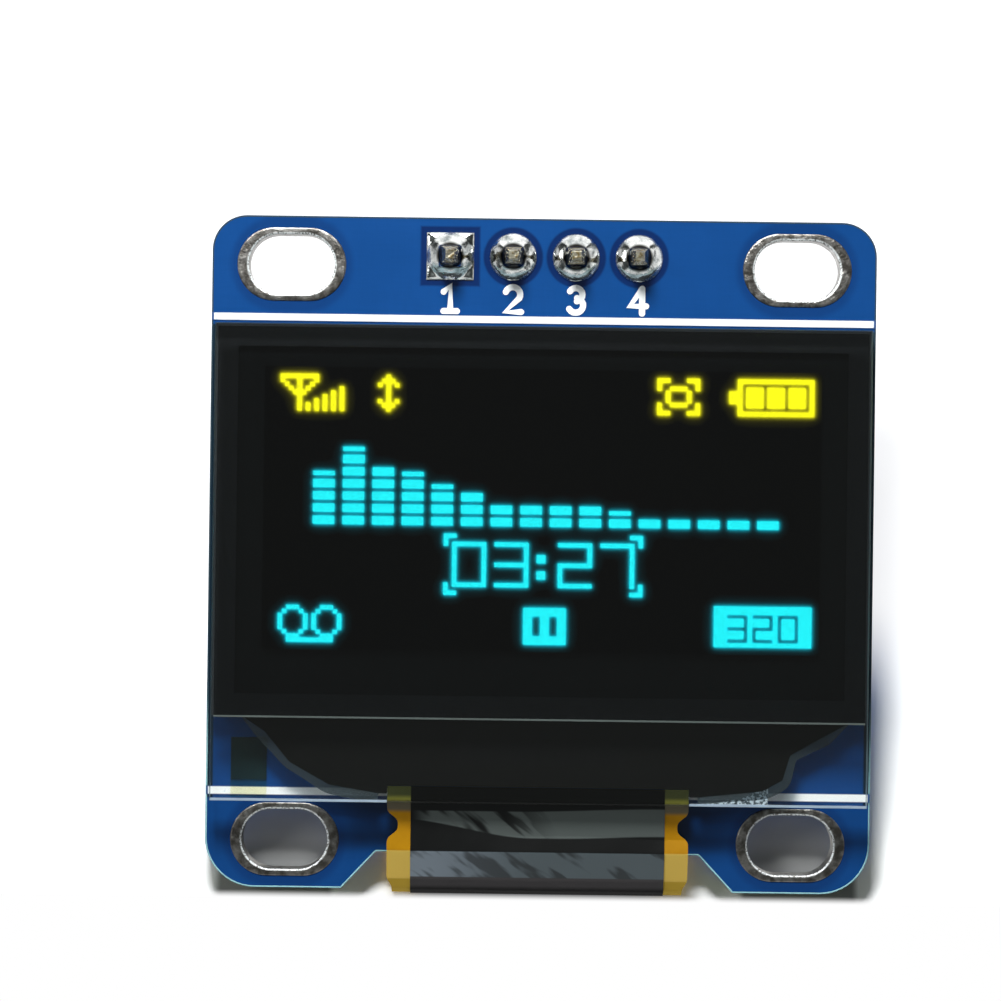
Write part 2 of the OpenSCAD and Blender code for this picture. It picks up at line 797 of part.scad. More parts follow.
// Gull-wing leads: out of the case, down, and out again on the land
module regulator_leads() {
    middle = land_t + fit_gap + regulator_t / 2;
    knee = lead_reach - lead_foot;
    color("#cfd0cc") for (spot = lead_spots) regulator_spot(spot)
        translate([regulator_w / 2, 0, -lead_w / 2]) linear_extrude(lead_w) {
            translate([0, middle - lead_t / 2]) square([knee, lead_t]);
            translate([knee - lead_t, land_t]) square([lead_t, middle - land_t]);
            translate([knee - lead_t, land_t]) square([lead_foot + lead_t, lead_t]);
        }
}

// ---- assembly ----

circuit_board();
for (i = [1:4]) slot_lining(i);
for (i = [1:pin_count]) header_pad(i);
header_strip();
for (i = [1:pin_count]) header_pin(i);
for (i = [1:pin_count]) solder_joint(i);
upper_bar();
lower_bar();
display_tape();
rear_glass();
edge_seal();
light_panel();
yellow_tiles();
blue_tiles();
front_glass();
polarizer();
driver_chip();
chip_sealant();
amber_film();
flex_tail();
flex_cover();
flex_contacts();
flex_lands();
regulator_case();
regulator_leads();
component_lands();
component_solder();
for (i = [1:len(capacitor_places)]) capacitor(i);
for (i = [1:len(resistor_places)]) resistor(i);
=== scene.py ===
"""Looks of the small light-emitting display module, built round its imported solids.

The module stands upright: X to the right, Z up, and the display faces -Y. Shapes are worked out in
millimetres and go into their meshes in metres.
"""

import math

import bmesh
import bpy
import numpy as np
from mathutils import Matrix, Vector


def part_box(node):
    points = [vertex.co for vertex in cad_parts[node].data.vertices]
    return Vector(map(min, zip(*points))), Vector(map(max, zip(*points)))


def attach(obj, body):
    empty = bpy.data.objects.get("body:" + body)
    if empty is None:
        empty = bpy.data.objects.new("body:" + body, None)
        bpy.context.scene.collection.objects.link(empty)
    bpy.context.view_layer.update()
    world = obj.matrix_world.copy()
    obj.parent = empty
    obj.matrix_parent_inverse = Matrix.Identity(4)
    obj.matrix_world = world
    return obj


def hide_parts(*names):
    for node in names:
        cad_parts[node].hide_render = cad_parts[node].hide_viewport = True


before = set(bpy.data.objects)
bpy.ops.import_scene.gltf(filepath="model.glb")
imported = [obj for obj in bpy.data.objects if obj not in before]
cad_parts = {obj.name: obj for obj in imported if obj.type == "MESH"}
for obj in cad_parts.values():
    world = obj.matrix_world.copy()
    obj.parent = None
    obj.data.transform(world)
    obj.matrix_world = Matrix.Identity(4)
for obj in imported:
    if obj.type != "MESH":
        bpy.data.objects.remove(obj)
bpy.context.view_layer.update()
MM = 0.001


def corners(node):
    """Lowest and highest corner of a solid, in millimetres."""
    low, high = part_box(node)
    return np.array(low) / MM, np.array(high) / MM


board_low, board_high = corners("circuit_board")
glass_low, glass_high = corners("front_glass")
sheet_low, sheet_high = corners("polarizer")
flex_low, flex_high = corners("flex_tail")
cover_high = corners("flex_cover")[1]
FRONT, BACK = board_low[1], board_high[1]
GLASS_FOOT, GLASS_BACK = glass_low[2], glass_high[1]
CREASE = -11.93
PIN_STEP = 2.54
PIN_ROW = board_high[2] - 1.55
SLOT_X, SLOT_Z = 10.2, 11.597
SLOT_LENGTH, SLOT_WIDTH = 3.45, 2.4


# ---- camera, light and floor ----


def place_camera():
    """Straight in front of the board, rolled a little so that the module looks turned clockwise."""
    turn = Matrix.Rotation(math.radians(90), 4, "X") @ Matrix.Rotation(math.radians(0.75), 4, "Z")
    right, up = turn.col[0].to_3d(), turn.col[1].to_3d()
    data = bpy.data.cameras.new("camera")
    data.lens = 133.7
    data.sensor_width = 36
    data.clip_start, data.clip_end = 0.001, 20
    camera = bpy.data.objects.new("camera", data)
    bpy.context.scene.collection.objects.link(camera)
    place = (Vector((0, FRONT - 150, 0)) - 1.63 * right + 2.19 * up) * MM
    camera.matrix_world = Matrix.Translation(place) @ turn
    bpy.context.scene.camera = camera


place_camera()


# ---- shader maths ----


class Wire:
    """An output of a shader node. A sum of such outputs and numbers adds Math nodes."""

    def __init__(self, paint, socket):
        self.paint = paint
        self.socket = socket

    def join(self, operation, other, swapped=False):
        first, second = (other, self) if swapped else (self, other)
        return self.paint.node("ShaderNodeMath", {"operation": operation}, {0: first, 1: second})

    def __add__(self, other):
        return self.join("ADD", other)

    def __sub__(self, other):
        return self.join("SUBTRACT", other)

    def __rsub__(self, other):
        return self.join("SUBTRACT", other, swapped=True)

    def __mul__(self, other):
        return self.join("MULTIPLY", other)

    def __pow__(self, other):
        return self.join("POWER", other)

    def __lt__(self, other):
        return self.join("LESS_THAN", other)

    def __abs__(self):
        return self.paint.node("ShaderNodeMath", {"operation": "ABSOLUTE"}, {0: self})

    __radd__ = __add__
    __rmul__ = __mul__

    def at_least(self, other):
        return self.join("MAXIMUM", other)

    def rise(self, low, high):
        """Nothing below low, one above high, and a smooth rise between them. Low may be the larger."""
        inputs = {0: self, 1: min(low, high), 2: max(low, high), 3: 0.0, 4: 1.0}
        up = self.paint.node("ShaderNodeMapRange", {"interpolation_type": "SMOOTHSTEP"}, inputs)
        return 1 - up if low > high else up


class Paint:
    """A node tree in the making: that of a new material of a given name, or the world's own."""

    def __init__(self, owner):
        self.owner = bpy.data.materials.new(owner) if isinstance(owner, str) else owner
        self.owner.use_nodes = True
        self.tree = self.owner.node_tree
        self.tree.nodes.clear()

    def node(self, kind, settings=None, inputs=None, output=0):
        """A node of a type: its settings are set first, then each input gets its value or its link."""
        made = self.tree.nodes.new(kind)
        for key, value in (settings or {}).items():
            setattr(made, key, value)
        for key, value in (inputs or {}).items():
            if isinstance(value, Wire):
                self.tree.links.new(value.socket, made.inputs[key])
            else:
                made.inputs[key].default_value = value
        return Wire(self, made.outputs[output])

    def place(self, scale=(1, 1, 1), turn=(0, 0, 0)):
        """Object coordinates in millimetres, turned and then stretched for a pattern."""
        point = self.node("ShaderNodeTexCoord", output="Object")
        if any(turn):
            point = self.node("ShaderNodeMapping", None, {"Vector": point, "Rotation": turn})
        return self.node("ShaderNodeMapping", None, {"Vector": point, "Scale": [s / MM for s in scale]})

    def split(self, letters="xyz", vector=None):
        """Some of the object coordinates in millimetres, or of another vector's, by their letters."""
        made = self.node("ShaderNodeSeparateXYZ", None, {0: vector or self.place()}).socket.node
        return [Wire(self, made.outputs["xyz".index(letter)]) for letter in letters]

    def rays(self, *kinds):
        """Whether what looks is a ray of each kind, as 1 or 0."""
        path = self.tree.nodes.new("ShaderNodeLightPath")
        return [Wire(self, path.outputs[f"Is {kind} Ray"]) for kind in kinds]

    def noise(self, scale, detail=3.0, stretch=(1, 1, 1), turn=(0, 0, 0)):
        """Cloudy pattern from 0 to 1, with scale patches to the millimetre."""
        inputs = {"Vector": self.place(stretch, turn), "Scale": scale, "Detail": detail, "Roughness": 0.55}
        return self.node("ShaderNodeTexNoise", {"noise_dimensions": "3D"}, inputs)

    def mix(self, share, first, second):
        """One colour going over into another as share goes from 0 to 1."""
        settings = {"data_type": "RGBA", "clamp_factor": True}
        return self.node("ShaderNodeMix", settings, {0: share, 6: first, 7: second}, output=2)

    def coats(self, colour, *others):
        """A colour with others laid over it in turn, each given as its share and itself."""
        for share, other in others:
            colour = self.mix(share, colour, other)
        return colour

    def shade(self, colour, factor):
        """A colour made lighter or darker by a factor."""
        grey = self.node("ShaderNodeCombineColor", None, {0: factor, 1: factor, 2: factor})
        settings = {"data_type": "RGBA", "blend_type": "MULTIPLY", "clamp_factor": True}
        return self.node("ShaderNodeMix", settings, {0: 1.0, 6: colour, 7: grey}, output=2)

    def bump(self, height, depth, strength=1.0):
        """Relief of a height pattern, depth in millimetres."""
        inputs = {"Strength": strength, "Distance": depth * MM, "Height": height}
        return self.node("ShaderNodeBump", None, inputs)

    def shader(self, colour, roughness=0.5, metallic=0.0, relief=None, **others):
        """The principled shader. Constants and links go straight on its sockets."""
        inputs = {"Base Color": colour, "Roughness": roughness, "Metallic": metallic}
        if relief is not None:
            inputs["Normal"] = relief
        for key, value in others.items():
            inputs[key.replace("_", " ").title().replace("Ior", "IOR")] = value
        return self.node("ShaderNodeBsdfPrincipled", None, inputs)

    def clear(self, *colour):
        """A see-through shader that tints what lies behind it."""
        return self.node("ShaderNodeBsdfTransparent", None, {"Color": (*colour, 1)})

    def blend(self, share, first, second):
        """One shader going over into another as share goes from 0 to 1."""
        return self.node("ShaderNodeMixShader", None, {0: share, 1: first, 2: second})

    def done(self, shader, output="ShaderNodeOutputMaterial"):
        """Joins the shader to the output and gives what owns the tree."""
        self.tree.links.new(shader.socket, self.tree.nodes.new(output).inputs[0])
        return self.owner


def ink(red, green, blue):
    """A colour from its three screen values of 0 to 255."""
    value = np.array([red, green, blue]) / 255
    linear = np.where(value <= 0.04045, value / 12.92, ((value + 0.055) / 1.055) ** 2.4)
    return (*linear.tolist(), 1.0)


# ---- finishes ----


def slot_distance(x, z):
    """Distance in the board's plane from the middle line of the nearest slot."""
    along = (abs(abs(x) - SLOT_X) - (SLOT_LENGTH - SLOT_WIDTH) / 2).at_least(0)
    across = abs(abs(z) - SLOT_Z)
    return (along * along + across * across) ** 0.5


def pin_distances(x, z):
    """How far the nearest pin's middle is, sideways and along Z together, and as the larger of the two."""
    across, above = abs(abs(abs(x) - PIN_STEP) - PIN_STEP / 2), abs(z - PIN_ROW)
    return (across * across + above * above) ** 0.5, across.at_least(above)


def mask_finish(name="solder_mask_blue", copper=(8, 64, 125)):
    """Blue solder mask with a faint weave: paler over copper, darker where it stops short of a pad or a slot.

    On the front it has painted shade: darker still in a narrow strip beside the display, and in the shade of the
    flex.
    """
    p = Paint(name)
    x, y, z = p.split()
    round_pad, square_pad = pin_distances(x, z)
    first = x < -PIN_STEP
    pad = square_pad * first + round_pad * (1 - first)
    side = board_high[0]
    front = y.rise(BACK - 0.3, FRONT + 0.3)
    # Painted shade on the front: a dark strip beside the display, and the flex's shade below the ledge.
    beside = abs(x).rise(side - 0.32, side - 0.24) * abs(z + 0.4).rise(9.6, 9.5) * front
    painted_flex_shade = abs(x).rise(9.2, 6.9) * abs(z + 10.9).rise(1.3, 0.7) * front
    bare = pad.rise(1.26, 1.14).at_least(slot_distance(x, z).rise(2.1, 1.75) * 0.4)
    cloud = p.noise(0.35, 2.0)
    weave = p.noise(1.2, 1.0, (1.0, 1.0, 7.0)) + p.noise(1.2, 1.0, (7.0, 1.0, 1.0))
    colour = p.coats(ink(*copper), (bare, ink(2, 34, 84)), (beside, ink(12, 34, 48)))
    colour = p.shade(colour, (0.88 + cloud * 0.24) * (1 - painted_flex_shade * 0.5))
    colour = p.shade(colour, 0.94 + weave * 0.06)
    edge = abs(y - (FRONT + BACK) / 2) < (BACK - FRONT) / 2 - 0.02
    colour = p.mix(edge, colour, ink(120, 140, 120))
    relief = p.bump(weave + p.noise(9, 2.0) * 0.3, 0.01, 0.25)
    return p.done(p.shader(colour, 0.2 + cloud * 0.08, 0.0, relief, specular_ior_level=0.35))


def laminate_finish():
    """Routed edge of the glass-cloth board: pale green, with fine layers and rough strands.

    Its rim in front has painted light and shade: dark blue beside the display and above it, pale blue near the lower
    edge.
    """
    p = Paint("laminate_edge")
    y, z = p.split("yz")
    layers = p.noise(2.0, 2.0, (1.0, 9.0, 1.0))
    strands = p.noise(14, 3.0, (1.0, 2.0, 1.0))
    # Painted light and shade: the front rim is dark higher up and pale towards the lower edge.
    rim = p.mix(z.rise(-9, -5), ink(150, 204, 208), ink(10, 48, 62))
    colour = p.mix(layers, ink(104, 118, 92), ink(164, 172, 138))
    colour = p.mix(y.rise(FRONT + 0.08, FRONT + 0.01), colour, rim)
    relief = p.bump(strands, 0.02, 0.6)
    return p.done(p.shader(p.shade(colour, 0.75 + strands * 0.5), 0.62, 0.0, relief))


def land_finish():
    """Tinned land: grey with slow patches, lumpy where the tin ran and finely pitted."""
    p = Paint("tinned_land")
    patches, pits = p.noise(2.0, 3.0), p.noise(12, 4.0)
    colour = p.mix(patches, ink(166, 166, 162), ink(216, 216, 212))
    relief = p.bump(patches + pits * 0.35, 0.05, 0.55)
    return p.done(p.shader(colour, 0.26 + pits * 0.22, 1.0, relief))


def solder_finish():
    """Bright solder: smooth and lumpy, with a painted dark ring round each pin that stands in for the dark
    reflection in its steep collar.
    """
    p = Paint("solder_joint")
    ring = pin_distances(*p.split("xz"))[0]
    patches, pits = p.noise(2.2, 3.0), p.noise(9, 4.0)
    colour = p.mix(patches.rise(0.25, 0.6), ink(140, 148, 148), ink(240, 242, 240))
    # Painted reflection: dark ring in the collar round each pin.
    colour = p.mix(ring.rise(0.62, 0.48), colour, ink(36, 35, 30))
    relief = p.bump(patches + pits * 0.2, 0.05, 0.5)
    return p.done(p.shader(colour, 0.06 + pits * 0.1, 1.0, relief))


def ring_finish():
    """Tinned slot ring: dull mottled grey, with a painted highlight: a thin broken bright line where the tin turns
    into the slot.
    """
    p = Paint("slot_plating")
    patches, pits = p.noise(3.0, 3.0), p.noise(14, 4.0)
    off = slot_distance(*p.split("xz"))
    # Painted highlight along the rim where the tin turns into the slot, also made less metallic there.
    bright = off.rise(1.2, 1.215) * off.rise(1.31, 1.25) * pits.rise(0.36, 0.52)
    colour = p.mix(patches.rise(0.35, 0.65), ink(96, 93, 88), ink(152, 150, 146))
    colour = p.mix(off.rise(1.2, 1.17), colour, ink(160, 160, 158))
    colour = p.mix(bright, p.shade(colour, 0.55 + pits * 0.8), ink(236, 242, 242))
    relief = p.bump(patches + pits * 0.5, 0.06, 0.6)
    return p.done(p.shader(colour, 0.24 + pits * 0.24, 1 - bright * 0.9, relief))


def pin_finish():
    """Square pin: brass along its length, and in front a duller, blotched tip with a sheared end."""
    p = Paint("pin_plating")
    y = p.split("y")[0]
    cut = y.rise(FRONT - 1.42, FRONT - 1.48)
    front = y.rise(-0.4, -0.9)
    grain, drawn = p.noise(7, 3.0), p.noise(12, 2.0, (1.0, 0.06, 1.0))
    blotch = grain.rise(0.46, 0.6) * front
    colour = p.coats(ink(192, 160, 84), (front, ink(170, 166, 148)), (blotch, ink(132, 116, 78)))
    relief = p.bump(grain * front * 1.3 + drawn * 0.12, 0.05, 0.7)
    return p.done(p.shader(p.shade(colour, 0.7 + grain * 0.6), 0.18 + cut * 0.14, 1.0, relief))


def plastic_finish(name, colour, roughness, grain, gloss=0.5):
    """Moulded plastic with a fine spark-eroded grain and a faint mottle."""
    p = Paint(name)
    mottle, spark = p.noise(0.8, 2.0), p.noise(grain, 3.0)
    base = p.shade(colour, 0.8 + mottle * 0.4)
    relief = p.bump(spark, 0.015, 0.5)
    return p.done(p.shader(base, roughness + spark * 0.15, 0.0, relief, specular_ior_level=gloss))


def print_finish():
    """White screen print: thick ink with a slightly uneven face, thinner in patches.

    On the front the bars end short of the board's sides, and their long edges are thin.
    """
    p = Paint("white_ink")
    x, y, z = p.split()
    full = abs(x).rise(board_high[0] - 0.07, board_high[0] - 0.12)
    for bar in ("upper_bar", "lower_bar"):
        low, high = corners(bar)[0][2], corners(bar)[1][2]
        off = abs(z - (low + high) / 2) - (high - low) / 2
        full = full * off.rise(-0.005, -0.045).at_least(off.rise(0.03, 0.06))
    full = full.at_least(y.rise(FRONT + 0.3, BACK - 0.3))
    grain = p.noise(9, 3.0)
    thin = p.noise(2.2, 3.0).rise(0.22, 0.3)
    colour = p.mix(thin, ink(196, 212, 224), ink(247, 251, 250))
    colour = p.shade(p.mix(full, ink(20, 70, 128), colour), 0.94 + grain * 0.1)
    return p.done(p.shader(colour, 0.55, 0.0, p.bump(grain, 0.02, 0.5)))


def clear_finish(name, tint, side, reach, index, bond=0):
    """Clear sheet: see-through faces with a mirror sheen, the front one tinted, and pale ground sides.

    Its sides are told from its faces by their place between its front and its back, reach. The lower side
    is pale beyond bond, and dark with black film nearer the middle.
    """
    p = Paint(name)
    x, y, z = p.split()
    low, high = reach
    middle = (low + high) / 2
    inside = abs(y - middle) < (high - low) / 2 - 0.01
    streaks = p.noise(1.4, 3.0, (0.4, 1.0, 6.0))
    sheen = p.node("ShaderNodeFresnel", None, {"IOR": index})
    sheen = sheen * (1 - p.node("ShaderNodeNewGeometry", output="Backfacing"))
    gloss = p.node("ShaderNodeBsdfGlossy", None, {"Color": (1, 1, 1, 1), "Roughness": 0.03})
    face = p.blend(sheen, p.blend(y < middle, p.clear(1, 1, 1), p.clear(*tint)), gloss)
    above = z.rise(GLASS_FOOT + 0.3, GLASS_FOOT + 0.5)
    side = p.mix(abs(x).rise(bond, bond + 0.1).at_least(above), ink(12, 13, 12), side)
    ground = p.shader(p.shade(side, 0.7 + streaks * 0.6), 0.4, 0.0, p.bump(streaks, 0.01, 0.4))
    return p.done(p.blend(inside * 0.75, face, ground))


def glow_finish(name, colour, strength):
    """Lit cells: an even light, with the slight unevenness of the layer that gives it."""
    p = Paint(name)
    lit = p.shade(colour, 0.94 + p.noise(0.5, 2.0) * 0.12)
    made = p.shader(ink(18, 20, 20), 0.5, 0.0, emission_color=lit, emission_strength=strength)
    return p.done(made)


def halo_finish(name, colour, strength):
    """Light that spreads in the glass round the lit cells, as strong as the piece's own glow attribute."""
    p = Paint(name)
    glow = p.node("ShaderNodeAttribute", {"attribute_name": "glow"}, output="Fac")
    lit = p.shade(colour, glow * (0.9 + p.noise(0.6, 2.0) * 0.2))
    return p.done(p.shader(
        ink(6, 6, 7), 0.5, 0.0, emission_color=lit, emission_strength=strength, specular_ior_level=0.05
    ))


def cover_finish():
    """Black cover film, streaked aslant by bending, with painted sheen that greys it above the low line, below the
    crease and on the fold, and painted shade along its lowest edge.
    """
    p = Paint("black_cover_film")
    x, y, z = p.split()
    cloud = p.noise(0.7, 3.0)
    marks = p.noise(1.9, 2.0, (1.0, 1.0, 0.14), (0, math.radians(50), 0)).rise(0.4, 0.53)
    front = y.rise(0.9, 0.5)
    # Where the fold gets a painted paler sheen.
    fold = z.rise(-12.98, -13.02) * front
    low_line = z + x.rise(-5.6, -0.2) * 0.74 - x.rise(0.8, 5) * 0.12
    top_line = z - x.rise(-1, 5) * 0.16
    # Painted sheen: the grey bands above the low line and below the crease stand in for reflections.
    upper = low_line.rise(-10.68, -10.6) * top_line.rise(-10.28, -10.34) * x.rise(-5.1, -4.2) * front
    lower = z.rise(CREASE + 0.01, CREASE - 0.03) * (1 - fold) * front
    base = p.coats(
        p.mix(cloud, ink(14, 15, 15), ink(20, 21, 21)),
        (upper * marks.at_least(x.rise(-1.5, 1)), ink(80, 87, 85)),
        (lower * (marks * 0.7 + 0.3), p.mix(x.rise(-5, 0), ink(116, 127, 136), ink(80, 90, 94))),
        # Painted sheen on the fold, and painted shade along the lowest edge.
        (fold, ink(66, 64, 65)),
        (z.rise(-13.3, -13.55) * front, ink(17, 16, 16)),
    )
    relief = p.bump(p.noise(6, 2.0), 0.008, 0.3)
    rough = (0.26 + cloud * 0.1).at_least(fold * 0.9)
    return p.done(p.shader(base, rough, 0.0, relief, specular_ior_level=0.3))


def amber_finish():
    """Amber polyimide: clear yellow-brown, dull with glue just under the glass, and with painted sheen that makes it
    paler below the crease and on the fold.

    On the ledge it has painted shade: a dark olive higher up behind the glass, with painted light paler at the
    glass's lower edge, and its middle there is hidden by dead black.
    """
    p = Paint("amber_polyimide")
    x, y, z = p.split()
    cloud = p.noise(0.9, 3.0)
    front = y.rise(-0.4, -0.9)
    # Painted sheen: paler amber below the crease and on the fold.
    pale = z.rise(CREASE + 0.03, CREASE - 0.03) * front
    fold = z.rise(-13.06, -13.12) * y.rise(0.9, 0.5)
    glue = z.rise(GLASS_FOOT - 0.5, GLASS_FOOT - 0.28) * front
    ledge = z.rise(GLASS_FOOT - 0.03, GLASS_FOOT + 0.03) * front
    # Painted shade and light: the amber behind the glass is dark olive higher up and paler at the glass's lower
    # edge.
    olive = p.mix(z.rise(GLASS_FOOT + 0.3, GLASS_FOOT + 0.06), ink(40, 44, 12), ink(96, 96, 30))
    middle = abs(x).rise(cover_high[0] + 0.02, cover_high[0] - 0.02)
    hidden = z.rise(GLASS_FOOT - 0.14, GLASS_FOOT - 0.1) * front * middle
    colour = p.coats(
        p.mix(cloud, ink(150, 104, 4), ink(190, 138, 8)), (pale, ink(208, 176, 82)),
        (fold, ink(196, 162, 54)), (glue, ink(98, 92, 74)), (ledge, olive), (hidden, ink(8, 9, 8)),
    )
    relief = p.bump(cloud + p.noise(6, 2.0) * 0.15, 0.03, 0.3)
    rough = (0.34 + cloud * 0.1).at_least(fold.at_least(hidden) * 0.9)
    return p.done(p.shader(colour, rough, hidden, relief, specular_ior_level=0.25))


def amber_sheet_finish():
    """Thin clear amber film, which tints what lies under it. Above the lower bar it is darker."""
    p = Paint("amber_sheet")
    bar_top = corners("lower_bar")[1][2]
    loose = p.split("z")[0].rise(bar_top + 0.2, bar_top + 0.32)
    face = p.shader(p.shade(ink(20, 44, 40), 0.7 + p.noise(1.0, 3.0) * 0.6), 0.3)
    return p.done(p.blend(loose * 0.42 + 0.02, p.clear(0.97, 0.965, 0.86), face))


def mist_finish():
    """Thin translucent edge of the sealant: half of what lies behind shows through it."""
    p = Paint("thin_sealant")
    face = p.shader(p.shade(ink(46, 58, 62), 0.7 + p.noise(1.2, 3.0) * 0.6), 0.45)
    return p.done(p.blend(0.5, p.clear(0.8, 0.85, 0.88), face))


def chip_finish(node, body, lying):
    """Chip part: a body between two tinned ends, told apart by the distance from the part's middle."""
    p = Paint(node + "_finish")
    low, high = corners(node)
    x, z = p.split("xz")
    along = abs(x - (low[0] + high[0]) / 2 if lying else z - (low[2] + high[2]) / 2)
    end = along.rise(0.465, 0.485)
    speck = p.noise(11, 3.0)
    tin = p.mix(speck, ink(150, 152, 154), ink(214, 216, 214))
    colour = p.mix(end, p.shade(body, 0.85 + speck * 0.3), tin)
    relief = p.bump(speck, 0.02, 0.5)
    return p.done(p.shader(colour, 0.42 - end * 0.12 + speck * 0.15, end * 0.9, relief))


MASK = mask_finish()
LAMINATE = laminate_finish()
PLATING = ring_finish()
SOLDER = solder_finish()
LANDS = land_finish()
WHITE = print_finish()
AMBER = amber_finish()
COVER = cover_finish()
TRACK = mask_finish("mask_over_tracks", (14, 84, 152))


def dress(node, finish):
    """Gives a solid its finish."""
    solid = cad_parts[node]
    if not solid.material_slots:
        solid.data.materials.append(finish)
    for place in solid.material_slots:
        place.material = finish


def numbered(stem):
    """The nodes whose name is a stem and a number."""
    return sorted(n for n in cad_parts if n.rpartition("_")[0] == stem and n.rpartition("_")[2].isdigit())


for stem, finish in {
    "slot_lining": PLATING, "header_pad": LANDS, "header_pin": pin_finish(), "solder_joint": SOLDER,
}.items():
    for node in numbered(stem):
        dress(node, finish)
for node, finish in {
    "circuit_board": MASK, "upper_bar": WHITE, "lower_bar": WHITE, "flex_tail": AMBER, "flex_cover": COVER,
    "flex_contacts": LANDS, "flex_lands": LANDS, "regulator_leads": LANDS, "component_lands": LANDS,
    "component_solder": SOLDER, "amber_film": amber_sheet_finish(),
    "header_strip": plastic_finish("strip_plastic", ink(26, 26, 28), 0.42, 16),
    "regulator_case": plastic_finish("case_moulding", ink(30, 30, 32), 0.5, 20),
    "display_tape": plastic_finish("foam_tape", ink(40, 40, 42), 0.75, 8),
    "light_panel": plastic_finish("dark_panel", ink(3, 3, 4), 0.7, 6, 0.0),
    "rear_glass": plastic_finish("rear_glass_dark", ink(30, 36, 38), 0.12, 5),
    "edge_seal": plastic_finish("seal_bead", ink(44, 50, 54), 0.35, 6),
    "chip_sealant": plastic_finish("chip_sealant", ink(7, 8, 7), 0.4, 4, 0.1),
    "driver_chip": plastic_finish("driver_silicon", ink(7, 8, 8), 0.4, 3, 0.1),
    "front_glass": clear_finish(
        "clear_glass", (0.98, 0.99, 0.985), ink(124, 146, 152), (glass_low[1], GLASS_BACK), 1.45, flex_high[0]
    ),
    "polarizer": clear_finish(
        "polarizer_film", (0.28, 0.28, 0.28), ink(52, 60, 60), (sheet_low[1], sheet_high[1]), 1.42, -1
    ),
}.items():
    dress(node, finish)
for stem, colour in {"capacitor": ink(176, 138, 92), "resistor": ink(26, 26, 28)}.items():
    for node in numbered(stem):
        low, high = corners(node)
        dress(node, chip_finish(node, colour, high[0] - low[0] > high[2] - low[2]))


# ---- surfaces ----


def quads(rows, columns, ring_rows=False, ring_columns=False):
    """Four-cornered faces of a grid numbered row by row. A ring joins its last row or column to its first."""
    down, across = np.arange(rows if ring_rows else rows - 1), np.arange(columns if ring_columns else columns - 1)
    i, j = np.meshgrid(down, across, indexing="ij")
    down, across = (i + 1) % rows, (j + 1) % columns
    faces = [i * columns + j, down * columns + j, down * columns + across, i * columns + across]
    return np.stack(faces, -1).reshape(-1, 4).tolist()


def deepen(flat, deep):
    """Points made of places in the board's plane, X and Z, and of depths, Y."""
    deep = np.broadcast_to(deep, flat.shape[:-1])
    return np.stack([flat[..., 0], deep, flat[..., 1]], -1).reshape(-1, 3)


def piece(name, points, faces, finish, slot, replaces=(), crease=40, attribute=None):
    """A finished piece of the module, from points in millimetres and faces as lists of point numbers."""
    mesh = bpy.data.meshes.new(name)
    mesh.from_pydata((np.asarray(points, float) * MM).tolist(), [], faces)
    shape = bmesh.new()
    shape.from_mesh(mesh)
    bmesh.ops.remove_doubles(shape, verts=shape.verts, dist=1e-8)
    bmesh.ops.recalc_face_normals(shape, faces=shape.faces)
    shape.to_mesh(mesh)
    shape.free()
    mesh.shade_smooth()
    mesh.set_sharp_from_angle(angle=math.radians(crease))
    if attribute is not None:
        mesh.attributes.new("glow", "FLOAT", "POINT").data.foreach_set("value", attribute.astype(np.float32))
    mesh.materials.append(finish)
    made = bpy.data.objects.new(name, mesh)
    bpy.context.scene.collection.objects.link(made)
    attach(made, "root")
    if replaces:
        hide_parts(*replaces)


def gather(parts):
    """Several point and face lists as one."""
    points, faces, start = [], [], 0
    for some, ours in parts:
        points.append(some)
        faces += [[start + k for k in face] for face in ours]
        start += len(some)
    return np.concatenate(points), faces


def arc(x, z, radius, start, end, count=14):
    """Points on a circle, between two angles in degrees, counted from +X towards +Z."""
    angle = np.radians(np.linspace(start, end, count))
    return np.stack([x + radius * np.cos(angle), z + radius * np.sin(angle)], 1)


def outline_band(outline, section):
    """A closed section carried round a closed outline that runs counter-clockwise.

    A point of the section lies out from the outline and along Y. Outward is the outline's mean direction at
    each point, turned by a right angle.
    """
    along = np.roll(outline, -1, 0) - np.roll(outline, 1, 0)
    along /= np.linalg.norm(along, axis=1, keepdims=True)
    normal = np.stack([along[:, 1], -along[:, 0]], 1)
    section = np.asarray(section, float)
    flat = outline[:, None, :] + section[None, :, :1] * normal[:, None, :]
    return deepen(flat, section[None, :, 1]), quads(len(outline), len(section), True, True)


def board_outline():
    """The board's outline: a rectangle with round corners and the notch for the flex in its lower edge."""
    half, top, bottom = board_high[0], board_high[2], board_low[2]
    floor, reach, mouth = bottom + 1.495, 6.5, 7.9
    return np.concatenate([
        arc(half - 2, bottom + 2, 2, -90, 0), arc(half - 1.4, top - 1.4, 1.4, 0, 90),
        arc(-half + 1.4, top - 1.4, 1.4, 90, 180), arc(-half + 2, bottom + 2, 2, 180, 270),
        [[-mouth, bottom], [-mouth + 0.04, bottom + 0.04], [-reach - 0.04, floor - 0.04], [-reach, floor],
         [reach, floor], [reach + 0.04, floor - 0.04], [mouth - 0.04, bottom + 0.04], [mouth, bottom]],
    ])


def add_board_edge():
    """Bare laminate round the board: a thin band that wraps its side and turns a hair over both faces."""
    wrap, skin = 0.06, 0.006
    section = [
        [-wrap, FRONT - skin], [-0.012, FRONT - skin], [skin, FRONT + 0.03], [skin, BACK - 0.03],
        [-0.012, BACK + skin], [-wrap, BACK + skin], [-wrap, BACK - 0.02], [-wrap, FRONT + 0.02],
    ]
    piece("board_edge", *outline_band(board_outline(), section), LAMINATE, "solder_mask")


